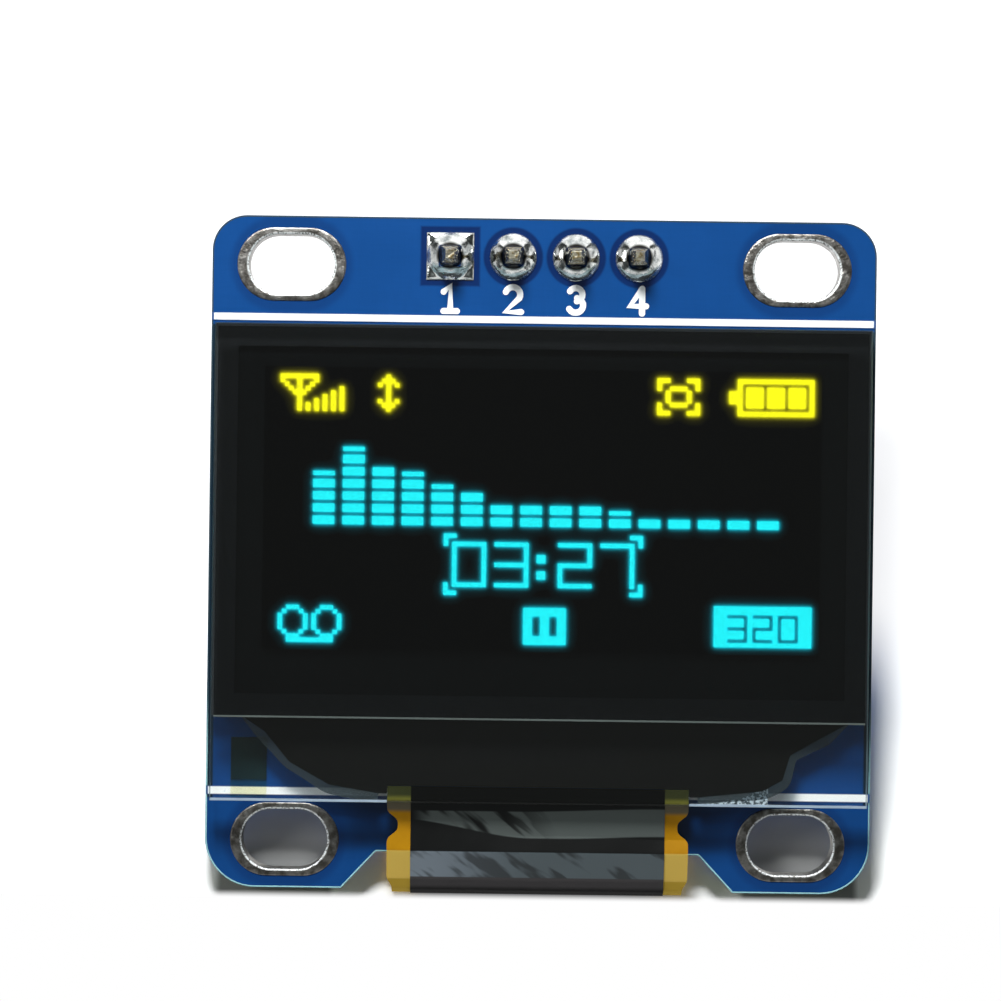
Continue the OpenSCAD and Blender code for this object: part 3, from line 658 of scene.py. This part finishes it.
def slot_outline(length, width, turn=36, run=14):
    """Points round a slot with round ends, at equal shares of its round and straight parts for every size."""
    half = (length - width) / 2
    right = arc(half, 0, width / 2, -90, 90, turn)
    left = arc(-half, 0, width / 2, 90, 270, turn)
    straight = np.linspace(0, 1, run)[1:-1, None]
    top = right[-1] * (1 - straight) + left[0] * straight
    bottom = left[-1] * (1 - straight) + right[0] * straight
    return np.concatenate([right, top, left, bottom])


def add_slot_ring(number):
    """Tinned ring and wall of one slot.

    A section goes from the ring's outer edge over a low crown, round the rim and down the wall, and back on
    the other face. Its first value blends from the slot's outline, 0, to the ring's, 1. The crown and the rim
    waver by a sum of sines round the slot, where the tin ran.
    """
    node = f"slot_lining_{number}"
    low, high = corners(node)
    inner, outer = slot_outline(SLOT_LENGTH, SLOT_WIDTH), slot_outline(high[0] - low[0], high[2] - low[2])
    crown = np.array([[1.0, 0.0], [0.985, 0.028], [0.93, 0.042], [0.78, 0.048], [0.55, 0.05], [0.34, 0.052],
                      [0.2, 0.05], [0.1, 0.036], [0.03, 0.004], [0.0, -0.05], [0.0, -0.2], [0.0, -0.6]])
    front = np.stack([crown[:, 0], FRONT - crown[:, 1]], 1)
    back = np.stack([crown[::-1, 0], BACK + crown[::-1, 1]], 1)
    across, deep = np.concatenate([front, back[1:]]).T
    rng = np.random.default_rng(40 + number)
    share = np.linspace(0, 2 * np.pi, len(inner), endpoint=False)
    waves = sum(
        rng.uniform(0.3, 1.0) * np.sin(k * share + rng.uniform(0, 6.3)) for k in (2, 3, 5, 9, 14, 23, 31)
    ) / 3
    shift = (0.02 * waves)[:, None] * np.exp(-((across - 0.06) / 0.12) ** 2)[None, :]
    blend = (across[None, :] + shift)[..., None]
    flat = inner[:, None, :] * (1 - blend) + outer[:, None, :] * blend
    rise = (0.008 * np.roll(waves, 9))[:, None] * np.sin(np.pi * across)[None, :]
    side = np.where(deep < (FRONT + BACK) / 2, -1, 1)
    points = deepen(flat + ((low + high) / 2)[[0, 2]], deep[None, :] + side[None, :] * rise)
    piece(f"slot_ring_{number}", points, quads(len(inner), len(across), True, True), PLATING, "tin_plating",
          (node,), crease=70)


def add_solder_dome(number):
    """Solder on one pin: a low lens whose height falls from the pin to the pad's edge as 1 - v^2.

    v runs from 0 at the pin to 1 at the edge, which is a circle, or on the square pad a square with round
    corners. A thin collar of solder climbs the pin. Slow waves round the joint keep it from being regular.
    On the square pad the lens stays round, and only a thin layer of tin reaches into the corners.
    """
    low, high = corners(f"header_pad_{number}")
    middle = (low + high) / 2
    face = low[1]
    tall = face - corners(f"solder_joint_{number}")[0][1]
    half = (high[0] - low[0]) / 2 + 0.004
    rounds, steps, pin_half = 120, 30, 0.315
    angle = np.linspace(0, 2 * np.pi, rounds, endpoint=False)
    v = np.linspace(0, 1, steps)
    cosine, sine = np.abs(np.cos(angle)), np.abs(np.sin(angle))
    power = 14.0 if number == 1 else 2.0
    edge = half / (cosine ** power + sine ** power) ** (1 / power)
    pin = pin_half / (cosine ** 8 + sine ** 8) ** (1 / 8)
    rng = np.random.default_rng(7 * number)
    waves = sum(rng.uniform(0.4, 1) * np.sin(k * angle + rng.uniform(0, 6.3)) for k in (1, 2, 3, 5)) / 3
    waves = waves[:, None]
    swell = waves * np.sin(np.pi * v)[None, :]
    collar = np.exp(-v / 0.1)[None, :]
    radius = pin[:, None] * (1 - v) + edge[:, None] * v
    if number == 1:
        off = ((radius - pin_half) / (half - pin_half)).clip(0, 1)
        lens = 0.36 * (1 - off ** 2) ** 1.3 * (1 - 0.1 * swell)
        tin = 0.1 * (1 - v ** 5) * (1 + 0.3 * waves)
        height = tall * (lens + tin + 0.54 * collar)
    else:
        height = tall * (0.38 * (1 - v ** 2) * (1 - 0.14 * swell) + 0.58 * collar)
    across, up = radius * np.cos(angle)[:, None], radius * np.sin(angle)[:, None]
    top = np.stack([middle[0] + across, face - height, middle[2] + up], -1)
    core = top[:, :1].copy()
    core[..., 1] = face
    points = np.concatenate([core, top], 1)
    points[:, -1, 1] = face + 0.01
    piece(f"solder_dome_{number}", points.reshape(-1, 3), quads(rounds, steps + 1, True, True), SOLDER,
          "solder", (f"solder_joint_{number}",), crease=80)


add_board_edge()
for add in (add_slot_ring, add_solder_dome):
    for number in (1, 2, 3, 4):
        add(number)


# ---- strokes: numbers, marks and tracks ----


def stroke(path, width, caps=9):
    """Outline of a stroke: its path offset by half its width along mitred normals, and round ends."""
    path = np.asarray(path, float)
    step = np.diff(path, axis=0)
    step /= np.linalg.norm(step, axis=1, keepdims=True)
    left = np.stack([-step[:, 1], step[:, 0]], 1)
    mean = np.concatenate([left[:1], (left[:-1] + left[1:]) / 2, left[-1:]])
    mean /= np.maximum((mean ** 2).sum(1, keepdims=True), 0.35)
    half = width / 2
    turn = np.degrees(np.arctan2(step[:, 1], step[:, 0]))
    first, last = turn[0], turn[-1]
    return np.concatenate([
        (path - half * mean)[1:-1], arc(*path[-1], half, last - 90, last + 90, caps),
        (path + half * mean)[1:-1][::-1], arc(*path[0], half, first + 90, first + 270, caps),
    ])


def slab(outline, foot, face):
    """A flat outline given thickness: its two faces and a wall between them."""
    n = len(outline)
    points = np.concatenate([deepen(outline, foot), deepen(outline, face)])
    return points, quads(2, n, ring_columns=True) + [list(range(n)), list(range(2 * n - 1, n - 1, -1))]


def strokes(name, paths, width, foot, face, finish, slot):
    """One piece of many strokes. Each stands a hair above the last, so that no two faces lie in one plane."""
    step = math.copysign(0.0004, face - foot)
    parts = [slab(stroke(path, width), foot, face + k * step) for k, path in enumerate(paths)]
    piece(name, *gather(parts), finish, slot, crease=30)


def numeral(value, x, z):
    """Strokes of a plain numeral from 1 to 4, one millimetre high, its middle at x and z."""
    shapes = {
        1: [[[-0.25, 0.28], [0.02, 0.5], [0.02, -0.5]], [[-0.25, -0.5], [0.29, -0.5]]],
        2: [np.concatenate([arc(0, 0.2, 0.3, 160, -30, 12), [[-0.3, -0.5], [0.34, -0.5]]])],
        3: [arc(0, 0.23, 0.27, 150, -80, 12), arc(0, -0.2, 0.3, 80, -150, 12)],
        4: [[[0.14, 0.5], [-0.34, -0.2], [0.3, -0.2]], [[0.14, 0.5], [0.14, -0.5]]],
    }
    return [np.array([x, z]) + np.asarray(path, float) for path in shapes[value]]


pins = [sum(corners(f"header_pin_{k}")) / 2 for k in (1, 2, 3, 4)]


def add_pin_numbers():
    """White numbers under the pins on the front, and beside them on the back."""
    foot = corners("upper_bar")[1][2] + 0.16
    front = [path for k, pin in enumerate(pins, 1) for path in numeral(k, pin[0], foot + 0.5)]
    strokes("pin_numbers_front", front, 0.25, FRONT, FRONT - 0.025, WHITE, "white_print")
    back = [path * [-1, 1] for k, pin in enumerate(pins, 1) for path in numeral(k, -pin[0], 9.6)]
    strokes("pin_numbers_back", back, 0.14, BACK, BACK + 0.02, WHITE, "white_print")


add_pin_numbers()


def frame_round(node, margin=0.42, gap=0.5):
    """Marks round a part on the back: a hook at each corner, the left or lower pair before the other."""
    low, high = (c[[0, 2]] for c in corners(node))
    lying = high[0] - low[0] > high[1] - low[1]
    low, high = low - margin, high + margin
    along, across = (0, 1) if lying else (1, 0)
    middle = low[across] + (high[across] - low[across]) / 2
    hooks = [
        [[end + reach, side], [end, side], [end, middle]]
        for end, reach in ((low[along], gap), (high[along], -gap)) for side in (low[across], high[across])
    ]
    return hooks if lying else [[point[::-1] for point in hook] for hook in hooks]


def add_back_print():
    """White part outlines, a line under the header and marks by pin 1 and the regulator."""
    paths = []
    for node in numbered("capacitor") + numbered("resistor"):
        paths += frame_round(node)
    left, right, z = pins[0][0] - 1.5, pins[-1][0] + 1.5, pins[0][2]
    paths.append([[left, z - 1.5], [right, z - 1.5]])
    paths.append([[left - 0.35, z + 0.3], [left - 0.35, z - 0.3]])
    low, high = corners("regulator_case")
    paths += [[[low[0], side], [high[0], side]] for side in (high[2] + 0.25, low[2] - 0.25)]
    strokes("back_print", paths, 0.13, BACK, BACK + 0.02, WHITE, "white_print")


add_back_print()


def add_tracks():
    """Copper tracks under the mask on the back, as low ridges of the mask's own colour, and their plated vias."""
    tracks = [
        [[-3.81, 10.6], [-3.81, 9.9], [-6.2, 7.5], [-6.2, 6.9]],
        [[-1.27, 10.6], [-1.27, 8.2], [1.2, 6.9], [2.7, 6.9]],
        [[1.27, 10.6], [1.27, 9.2], [0.2, 8.1], [0.2, 2.2], [-0.9, 1.1]],
        [[3.81, 10.6], [3.81, 8.8], [4.6, 8.0], [4.6, 2.8], [3.3, 1.5]],
        [[-5.9, 0.6], [-7.4, 0.6], [-8.4, -0.6], [-8.4, -3.6]],
        [[-2.6, 0.1], [-2.6, -1.9], [-3.6, -2.9], [-3.6, -3.6]],
        [[2.2, -0.3], [2.2, -1.4], [1.2, -2.4], [1.2, -3.6]], [[3.6, 0.2], [5.0, -1.2], [6.0, -2.2], [6.0, -3.6]],
        [[8.6, 3.9], [9.6, 2.6], [9.6, -2.2], [8.4, -3.4]],
        [[-9.9, 6.4], [-11.2, 5.1], [-11.2, -3.2], [-9.4, -6.6], [-5.2, -8.6]],
        [[-1.2, -6.6], [-1.2, -8.2]], [[1.2, -6.6], [1.2, -8.2]], [[3.6, -6.6], [3.1, -8.2]],
        [[-3.6, -6.6], [-3.1, -8.2]],
    ]
    strokes("back_tracks", tracks, 0.28, BACK - 0.01, BACK + 0.012, TRACK, "solder_mask")
    spots = np.array([
        [-6.2, 6.6], [0.2, 2.0], [-2.6, 2.2], [5.3, -0.6], [9.6, 0.4], [-11.2, 1.0], [-8.4, -1.6],
        [-11.6, -8.6], [11.6, -8.6], [11.9, 8.4], [-11.9, 8.8], [6.9, 2.0], [-5.6, 3.2], [2.6, 3.0],
    ])
    ring = np.array([[0.16, -0.04], [0.17, 0.02], [0.24, 0.032], [0.33, 0.03], [0.4, 0.0], [0.4, -0.04]])
    parts = []
    for spot in spots:
        circle = arc(*spot, 1.0, 0, 360, 25)[:-1] - spot
        flat = spot + circle[:, None, :] * ring[None, :, :1]
        parts.append((deepen(flat, BACK + ring[:, 1]), quads(len(circle), len(ring), True, True)))
    piece("back_vias", *gather(parts), LANDS, "tin_plating")


add_tracks()


# ---- display ----


COLUMNS = 128
PITCH = (0.17, 0.1635)
CELL_FACE = GLASS_BACK + 0.006
panel_low, panel_high = corners("light_panel")
SCREEN_LEFT = panel_low[0] + 0.3
SCREEN_TOP = panel_high[2] - 0.3
ZONES = {"yellow_tiles": (SCREEN_TOP, 16), "blue_tiles": (SCREEN_TOP - 16 * PITCH[1] - 0.29, 48)}


def lit_cells(node):
    """Which cells of a zone are lit: those whose middle lies in a face of the tiles.

    The two slots of the pause mark are opened to twice the width they have there.
    """
    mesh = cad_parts[node].data
    spots = np.zeros(len(mesh.vertices) * 3, np.float32)
    mesh.vertices.foreach_get("co", spots)
    mesh.calc_loop_triangles()
    corner = np.zeros(len(mesh.loop_triangles) * 3, np.int32)
    mesh.loop_triangles.foreach_get("vertices", corner)
    faces = (spots.reshape(-1, 3) / MM)[corner.reshape(-1, 3)]
    faces = faces[np.ptp(faces[..., 1], axis=1) < 1e-4][..., [0, 2]]
    top, rows = ZONES[node]
    x = SCREEN_LEFT + (np.arange(COLUMNS) + 0.5) * PITCH[0]
    z = top - (np.arange(rows) + 0.5) * PITCH[1]
    grid = np.stack(np.meshgrid(x, z), -1)
    lit = np.zeros((rows, COLUMNS), bool)
    batch = 400
    for start in range(0, len(faces), batch):
        part = faces[start:start + batch, None, None]
        turn = [np.cross(part[..., (k + 1) % 3, :] - part[..., k, :], grid - part[..., k, :]) for k in range(3)]
        lit |= (np.all([t > -1e-9 for t in turn], 0) | np.all([t < 1e-9 for t in turn], 0)).any(0)
    if node == "blue_tiles":
        lit[41:46, [62, 67]] = False
    return lit


def spread(field, reach):
    """A field blurred along both axes by a bell of the given reach, in grid steps."""
    span = np.arange(-int(3 * reach) - 1, int(3 * reach) + 2)
    bell = np.exp(-0.5 * (span / reach) ** 2)
    bell /= bell.sum()
    for axis in (0, 1):
        field = np.apply_along_axis(lambda line: np.convolve(line, bell, "same"), axis, field)
    return field


def add_cells(node, name, finish, slot):
    """The lit cells of one zone as thin raised areas just clear of the glass.

    Face and foot are the lit squares of one grid, which share their corners, and a wall stands wherever a lit
    cell has a dark neighbour.
    """
    top, rows = ZONES[node]
    lit = np.pad(lit_cells(node), 1)
    wide = COLUMNS + 1
    row, column = np.meshgrid(np.arange(rows + 1), np.arange(wide), indexing="ij")
    grid = np.stack([SCREEN_LEFT + column * PITCH[0], top - row * PITCH[1]], -1)
    points = np.concatenate([deepen(grid, CELL_FACE), deepen(grid, CELL_FACE + 0.006)])
    under = (rows + 1) * wide
    r, c = np.nonzero(lit[1:-1, 1:-1])
    corner = r * wide + c
    high_left, high_right, low_left, low_right = corner, corner + 1, corner + wide, corner + wide + 1
    faces = [
        np.stack([low_left, low_right, high_right, high_left], 1),
        np.stack([high_left, high_right, low_right, low_left], 1) + under,
    ]
    for down, across, start, end in (
        (-1, 0, high_left, high_right), (1, 0, low_right, low_left),
        (0, -1, low_left, high_left), (0, 1, high_right, low_right),
    ):
        bare = ~lit[r + 1 + down, c + 1 + across]
        start, end = start[bare], end[bare]
        faces.append(np.stack([start, end, end + under, start + under], 1))
    used, faces = np.unique(np.concatenate(faces), return_inverse=True)
    dress(node, finish)
    piece(name, points[used], faces.reshape(-1, 4).tolist(), finish, slot, (node,))


def add_halo(node, name, colour):
    """Glow in the glass round the lit cells of one zone.

    The grid has three steps to a cell. Its glow is the sum of the lit cells blurred by three bells, the
    narrowest squared, and it is kept only where that glow can be seen.
    """
    fine, border = 3, 6
    top = ZONES[node][0]
    lit = np.pad(np.kron(lit_cells(node).astype(float), np.ones((fine, fine))), border)
    glow = (1.2 * spread(lit, 0.6) ** 2 + 0.5 * spread(lit, 1.4) + 0.06 * spread(lit, 4)).clip(0, 0.7)
    down, across = (np.arange(n) - border + 0.5 for n in glow.shape)
    grid = np.stack(np.meshgrid(SCREEN_LEFT + across * PITCH[0] / fine, top - down * PITCH[1] / fine), -1)
    points, value = deepen(grid, CELL_FACE + 0.01), glow.reshape(-1)
    faces = np.array(quads(*glow.shape))
    used, faces = np.unique(faces[value[faces].max(1) > 0.0015], return_inverse=True)
    piece(name, points[used], faces.reshape(-1, 4).tolist(), halo_finish(name + "_light", colour, 9.5),
          "dark_panel", attribute=value[used])


add_cells("yellow_tiles", "yellow_cells", glow_finish("yellow_light", (0.98, 0.97, 0.006, 1), 4.1), "yellow_light")
add_cells("blue_tiles", "blue_cells", glow_finish("blue_light", (0.012, 0.93, 1.0, 1), 3.7), "blue_light")
add_halo("yellow_tiles", "yellow_halo", (0.9, 0.85, 0.01, 1))
add_halo("blue_tiles", "blue_halo", (0.004, 0.56, 0.72, 1))


def rod(start, end, section, steps=40):
    """A closed section, given along Y and Z, carried along X from start to end and closed at both ends."""
    section = np.asarray(section, float)
    n = len(section)
    x = np.linspace(start, end, steps)
    points = np.concatenate([np.repeat(x, n)[:, None], np.tile(section, (steps, 1))], 1)
    ends = [list(range(n)), list(range(steps * n - 1, (steps - 1) * n - 1, -1))]
    return points, quads(steps, n, ring_columns=True) + ends


def add_glass_edges():
    """Ground arrises: a fine pale bead along the glass's lower edge, a painted highlight where that edge catches the
    light, and a dimmer one under the polarizer.
    """
    # Painted highlight: the pale bead along the glass's lower edge.
    ground = plastic_finish("ground_glass", ink(186, 206, 226), 0.5, 14)
    cut = plastic_finish("cut_film", ink(80, 90, 87), 0.4, 12)
    y, z = glass_low[1], GLASS_FOOT
    bright = [
        [y - 0.006, z + 0.1], [y + 0.03, z - 0.006], [y + 0.3, z - 0.006], [y + 0.3, z + 0.004], [y + 0.02, z + 0.1]
    ]
    flex_side = flex_high[0]
    parts = [rod(glass_low[0] + 0.03, -flex_side, bright), rod(flex_side, glass_high[0] - 0.03, bright)]
    piece("glass_arris", *gather(parts), ground, "clear_glass")
    y, z = sheet_low[1], sheet_low[2]
    dim = [[y - 0.005, z + 0.07], [y - 0.005, z], [y + 0.05, z - 0.005], [y + 0.19, z - 0.005], [y + 0.02, z + 0.07]]
    piece("polarizer_edge", *rod(sheet_low[0], sheet_high[0], dim), cut, "polarizer_film")


add_glass_edges()


def eased(path, knots, at, rounds):
    """Places at, read off the line through path at knots, with its corners eased by a short running mean."""
    path = np.stack([np.interp(at, knots, path[:, k]) for k in (0, 1)], 1)
    for _ in range(rounds):
        path[1:-1] = (path[:-2] + 2 * path[1:-1] + path[2:]) / 4
    return path


def add_thin_sealant():
    """Thin see-through border of the sealant: a strip outside each slanted side of it, on the ledge's back."""
    top, half, foot = corners("chip_sealant")[1][2], glass_high[0], GLASS_FOOT + 0.3
    left = np.array([
        [-half + 1.25, top], [-half + 2.15, top - 0.6], [-half + 3.15, top - 1.8], [-half + 4.75, top - 2.7],
        [-6.4, foot],
    ])
    right = np.array([
        [half - 0.75, top], [half - 1.75, top - 0.55], [half - 3.05, top - 1.3], [half - 3.35, top - 2.3],
        [half - 4.15, top - 2.75], [6.4, foot],
    ])
    parts = []
    for chain, side in ((left, -1), (right, 1)):
        share = np.linspace(0, len(chain) - 1, 60)
        smooth = eased(chain, range(len(chain)), share, 3)
        along = np.gradient(smooth, axis=0)
        along /= np.linalg.norm(along, axis=1, keepdims=True)
        out = np.stack([side * -along[:, 1], side * along[:, 0]], 1)
        width = (0.34 + 0.05 * np.sin(share * 2.3)) * np.clip(0.15 + share * 0.9, 0, 1)
        wide = smooth + out * width[:, None]
        wide[:, 1] = np.minimum(wide[:, 1], top)
        outline = np.concatenate([smooth - out * 0.03, wide[::-1]])
        parts.append(slab(outline, GLASS_BACK + 0.06, GLASS_BACK + 0.004))
    piece("thin_sealant", *gather(parts), mist_finish(), "black_sealant", crease=30)


add_thin_sealant()


def add_wedge():
    """Splash of silvery glue on the ledge's back, right of the flex: a low ramp that rises outward."""
    p = Paint("silver_glue")
    specks = p.noise(9, 4.0)
    colour = p.mix(specks.rise(0.42, 0.58), ink(52, 66, 74), ink(196, 208, 214))
    finish = p.done(p.shader(colour, 0.4, 0.3, p.bump(specks, 0.03, 0.8)))
    low = GLASS_FOOT + 0.03
    outline = np.array([
        [6.3, low], [9.22, low], [9.24, low + 0.72], [8.7, low + 0.5], [8.1, low + 0.22], [7.3, low + 0.1]
    ])
    ramp = slab(outline, GLASS_BACK + 0.05, GLASS_BACK + 0.005)
    piece("silver_wedge", *ramp, finish, "black_sealant", crease=30)


add_wedge()


# ---- flex ----


def flex_path():
    """Side view of the flex's outer face, in Y and Z, walked at equal steps.

    It goes down from its bond, in a shallow bow, over a crease, a leaning facet and the fold, and up behind
    the board.
    """
    y, bottom, back = flex_low[1], flex_low[2], flex_high[1]
    knots = np.array([
        [y, GLASS_FOOT + 0.6], [y, CREASE], [y + 0.38, -13.08], [y + 0.62, -13.5], [y + 1.0, bottom - 0.22],
        [y + 1.35, bottom - 0.1], [back - 0.32, -13.12], [back - 0.06, -12.7], [back, -12.25], [back, flex_high[2]],
    ])
    run = np.concatenate([[0], np.cumsum(np.linalg.norm(np.diff(knots, axis=0), axis=1))])
    return eased(knots, run, np.linspace(0, run[-1], 420), 8)


def wave(x, path):
    """How far the film stands off its path, at each point of a grid over it.

    Below the glass it leans back to a low line and comes forward again to the crease. The low line drops from
    the left side to the middle, and the lean is the same everywhere. Two slight swells run through the rest.
    """
    z = path[:, 1:2] + 0 * x
    front = np.clip((-0.9 - path[:, :1]) / 0.4, 0, 1)
    start = GLASS_FOOT - 0.34
    low_line = start - 0.32 - 0.72 / (1 + np.exp(-(x + 2.9) / 0.9)) + 0.05 * np.sin(0.9 * x)
    lean = 0.09 * np.minimum(start - z, (start - low_line) * (z - CREASE) / (low_line - CREASE))
    swell = 0.006 * np.sin(0.8 * x + 1.3 * z) + 0.003 * np.sin(2.3 * x - 2.2 * z)
    return front * (swell * np.clip((GLASS_FOOT - z) / 0.6, 0, 1) - np.clip(lean, 0, 1))


def film(path, half_width, inner, outer, across=96):
    """A film that follows a path, half_width to either side at each of its points.

    Its face is set off the path by outer and its back by inner, along the path's normal, plus the wave.
    """
    along = np.gradient(path, axis=0)
    along /= np.linalg.norm(along, axis=1, keepdims=True)
    normal = np.stack([along[:, 1], -along[:, 0]], 1)
    x = half_width[:, None] * np.linspace(-1, 1, across)[None, :]
    lift = wave(x, path)
    face, back = (
        np.stack([x, *(path[:, k:k + 1] + normal[:, k:k + 1] * (offset + lift) for k in (0, 1))], -1)
        for offset in (outer, inner)
    )
    loop = np.concatenate([face, back[:, ::-1]], 1)
    n = 2 * across
    last = (len(path) - 1) * n
    ends = [list(range(n)), list(range(last + n - 1, last - 1, -1))]
    return loop.reshape(-1, 3), quads(len(path), n, ring_columns=True) + ends


def add_flex():
    """The amber flex with a round bite in each side, and the black cover film over its middle."""
    path = flex_path()
    run = path[:, 1] - (GLASS_FOOT - 0.95)
    front = path[:, 0] < -0.9
    bite = 0.44 * np.exp(-((np.abs(run) / 0.42) ** 3.2)) * front
    share = np.clip((-13.0 - path[:, 1]) / 0.5, 0, 1) * (path[:, 0] < -0.3)
    tuck = 0.2 * share ** 2 * (3 - 2 * share)
    points, faces = film(path, flex_high[0] - bite - tuck, -0.1, 0.0)
    piece("flex_film", points, faces, AMBER, "polyimide", ("flex_tail",), crease=50)
    start = int(np.argmax(path[:, 1] < GLASS_FOOT - 0.05))
    stop = len(path) - int(np.argmax(path[::-1, 1] < cover_high[2] - 1.4))
    part = path[start:stop]
    points, faces = film(part, np.full(len(part), cover_high[0]), 0.004, 0.04)
    piece("flex_cover_film", points, faces, COVER, "cover_film", ("flex_cover",), crease=50)


add_flex()


# ---- floor, lamps and world ----


def add_floor():
    """The pale table that the module leans on, touched by the board's lower edge and the ends of the pins.

    It is seen from its upper side alone and holds back no lamp, so the module's back can be lit and looked at
    through it. As seen, it is paler where it lies far behind the board and below it, so that only the near
    shadow stands out, and has painted shade in the band seen through the slots.
    """
    low = np.array([BACK, board_low[2] - 0.01])
    pin_low, pin_high = corners("header_pin_1")
    slope = np.array([pin_high[1] + 0.02, pin_low[2]]) - low
    slope /= np.linalg.norm(slope)
    down, up, side = low - 90 * slope, low + 260 * slope, 260
    points = np.array([[-side, *down], [side, *down], [side, *up], [-side, *up]])
    p = Paint("pale_table")
    cloud = p.noise(0.02, 3.0)
    x, y, z = p.split()
    far = ((x * x + y * y + z * z) ** 0.5).rise(20, 44).at_least(z.rise(-6.5, -1.5) * 0.85)
    far = far.at_least(z.rise(-13.75, -14.1))
    seen, gloss, blocked = p.rays("Camera", "Glossy", "Shadow")
    seen = seen.at_least(gloss)
    # Painted shade on the floor in the band seen through the slots, deepest from the lower slots up.
    inside = abs(x).rise(8.1, 8.5) * abs(x).rise(13.2, 12.8)
    paler = 1.15 - inside * (0.58 + z.rise(-11.6, -12.6) * 0.25) + z.rise(-7, -1) + abs(x).rise(13.2, 14.4) * 0.35
    tone = (0.98 + cloud * 0.04) * (seen * (paler - 1) + 1)
    matt = p.node("ShaderNodeBsdfDiffuse", None, {"Color": p.shade((0.93, 0.945, 0.95, 1), tone)})
    white = p.node("ShaderNodeEmission", None, {"Color": (1, 1, 1, 1), "Strength": 1.0})
    behind = blocked.at_least(p.node("ShaderNodeNewGeometry", output="Backfacing"))
    mesh = bpy.data.meshes.new("table")
    mesh.from_pydata((points * MM).tolist(), [], [[0, 1, 2, 3]])
    mesh.materials.append(p.done(p.blend(behind, p.blend(seen * far, matt, white), p.clear(1, 1, 1))))
    table = bpy.data.objects.new("table", mesh)
    bpy.context.scene.collection.objects.link(table)


add_floor()


def add_lamp(name, toward, strength, size):
    """A round lamp that shines on the module from the direction toward."""
    data = bpy.data.lights.new(name, "AREA")
    data.energy, data.shape, data.size = strength, "DISK", size
    lamp = bpy.data.objects.new(name, data)
    direction = Vector(toward)
    lamp.location = direction * MM
    lamp.rotation_mode = "QUATERNION"
    lamp.rotation_quaternion = direction.to_track_quat("Z", "Y")
    bpy.context.scene.collection.objects.link(lamp)


add_lamp("key", (-12, -69, 80), 0.18, 0.034)
add_lamp("left_fill", (-150, -130, 50), 0.06, 0.08)
add_lamp("back_key", (110, 250, 150), 0.34, 0.12)
add_lamp("back_fill", (-150, 210, -60), 0.3, 0.14)


def light_world():
    """Background and room.

    Seen straight or through glass it is white. In a gloss it is a dark room with a pale ceiling, floor, sides
    and back, and a dim front. As light it is an even grey.
    """
    world = bpy.data.worlds.new("room")
    p = Paint(world)
    x, y, z = p.split(vector=p.node("ShaderNodeTexCoord", output="Generated"))
    top, below = z.rise(0.66, 0.82), (0 - z).rise(0.48, 0.6) * 0.6
    sides = (x.rise(0.8, 0.9) * 0.8).at_least((0 - x).rise(0.84, 0.93) * 0.5)
    back = y.rise(-0.1, 0.3) * (1 - y.rise(0.85, 0.95) * 0.7)
    room = p.mix((0 - y).rise(0.9, 0.95), (0.05, 0.055, 0.055, 1), (0.19, 0.205, 0.2, 1))
    room = p.mix(top.at_least(below).at_least(sides).at_least(back), room, (1.2, 1.2, 1.2, 1))
    seen, gloss, through = p.rays("Camera", "Glossy", "Transmission")
    colour = p.coats((0.125, 0.13, 0.135, 1), (gloss, room), (seen.at_least(through), (1, 1, 1, 1)))
    p.done(p.node("ShaderNodeBackground", None, {"Color": colour, "Strength": 1.0}), "ShaderNodeOutputWorld")
    bpy.context.scene.world = world


light_world()
bpy.context.scene.view_settings.view_transform = "Standard"
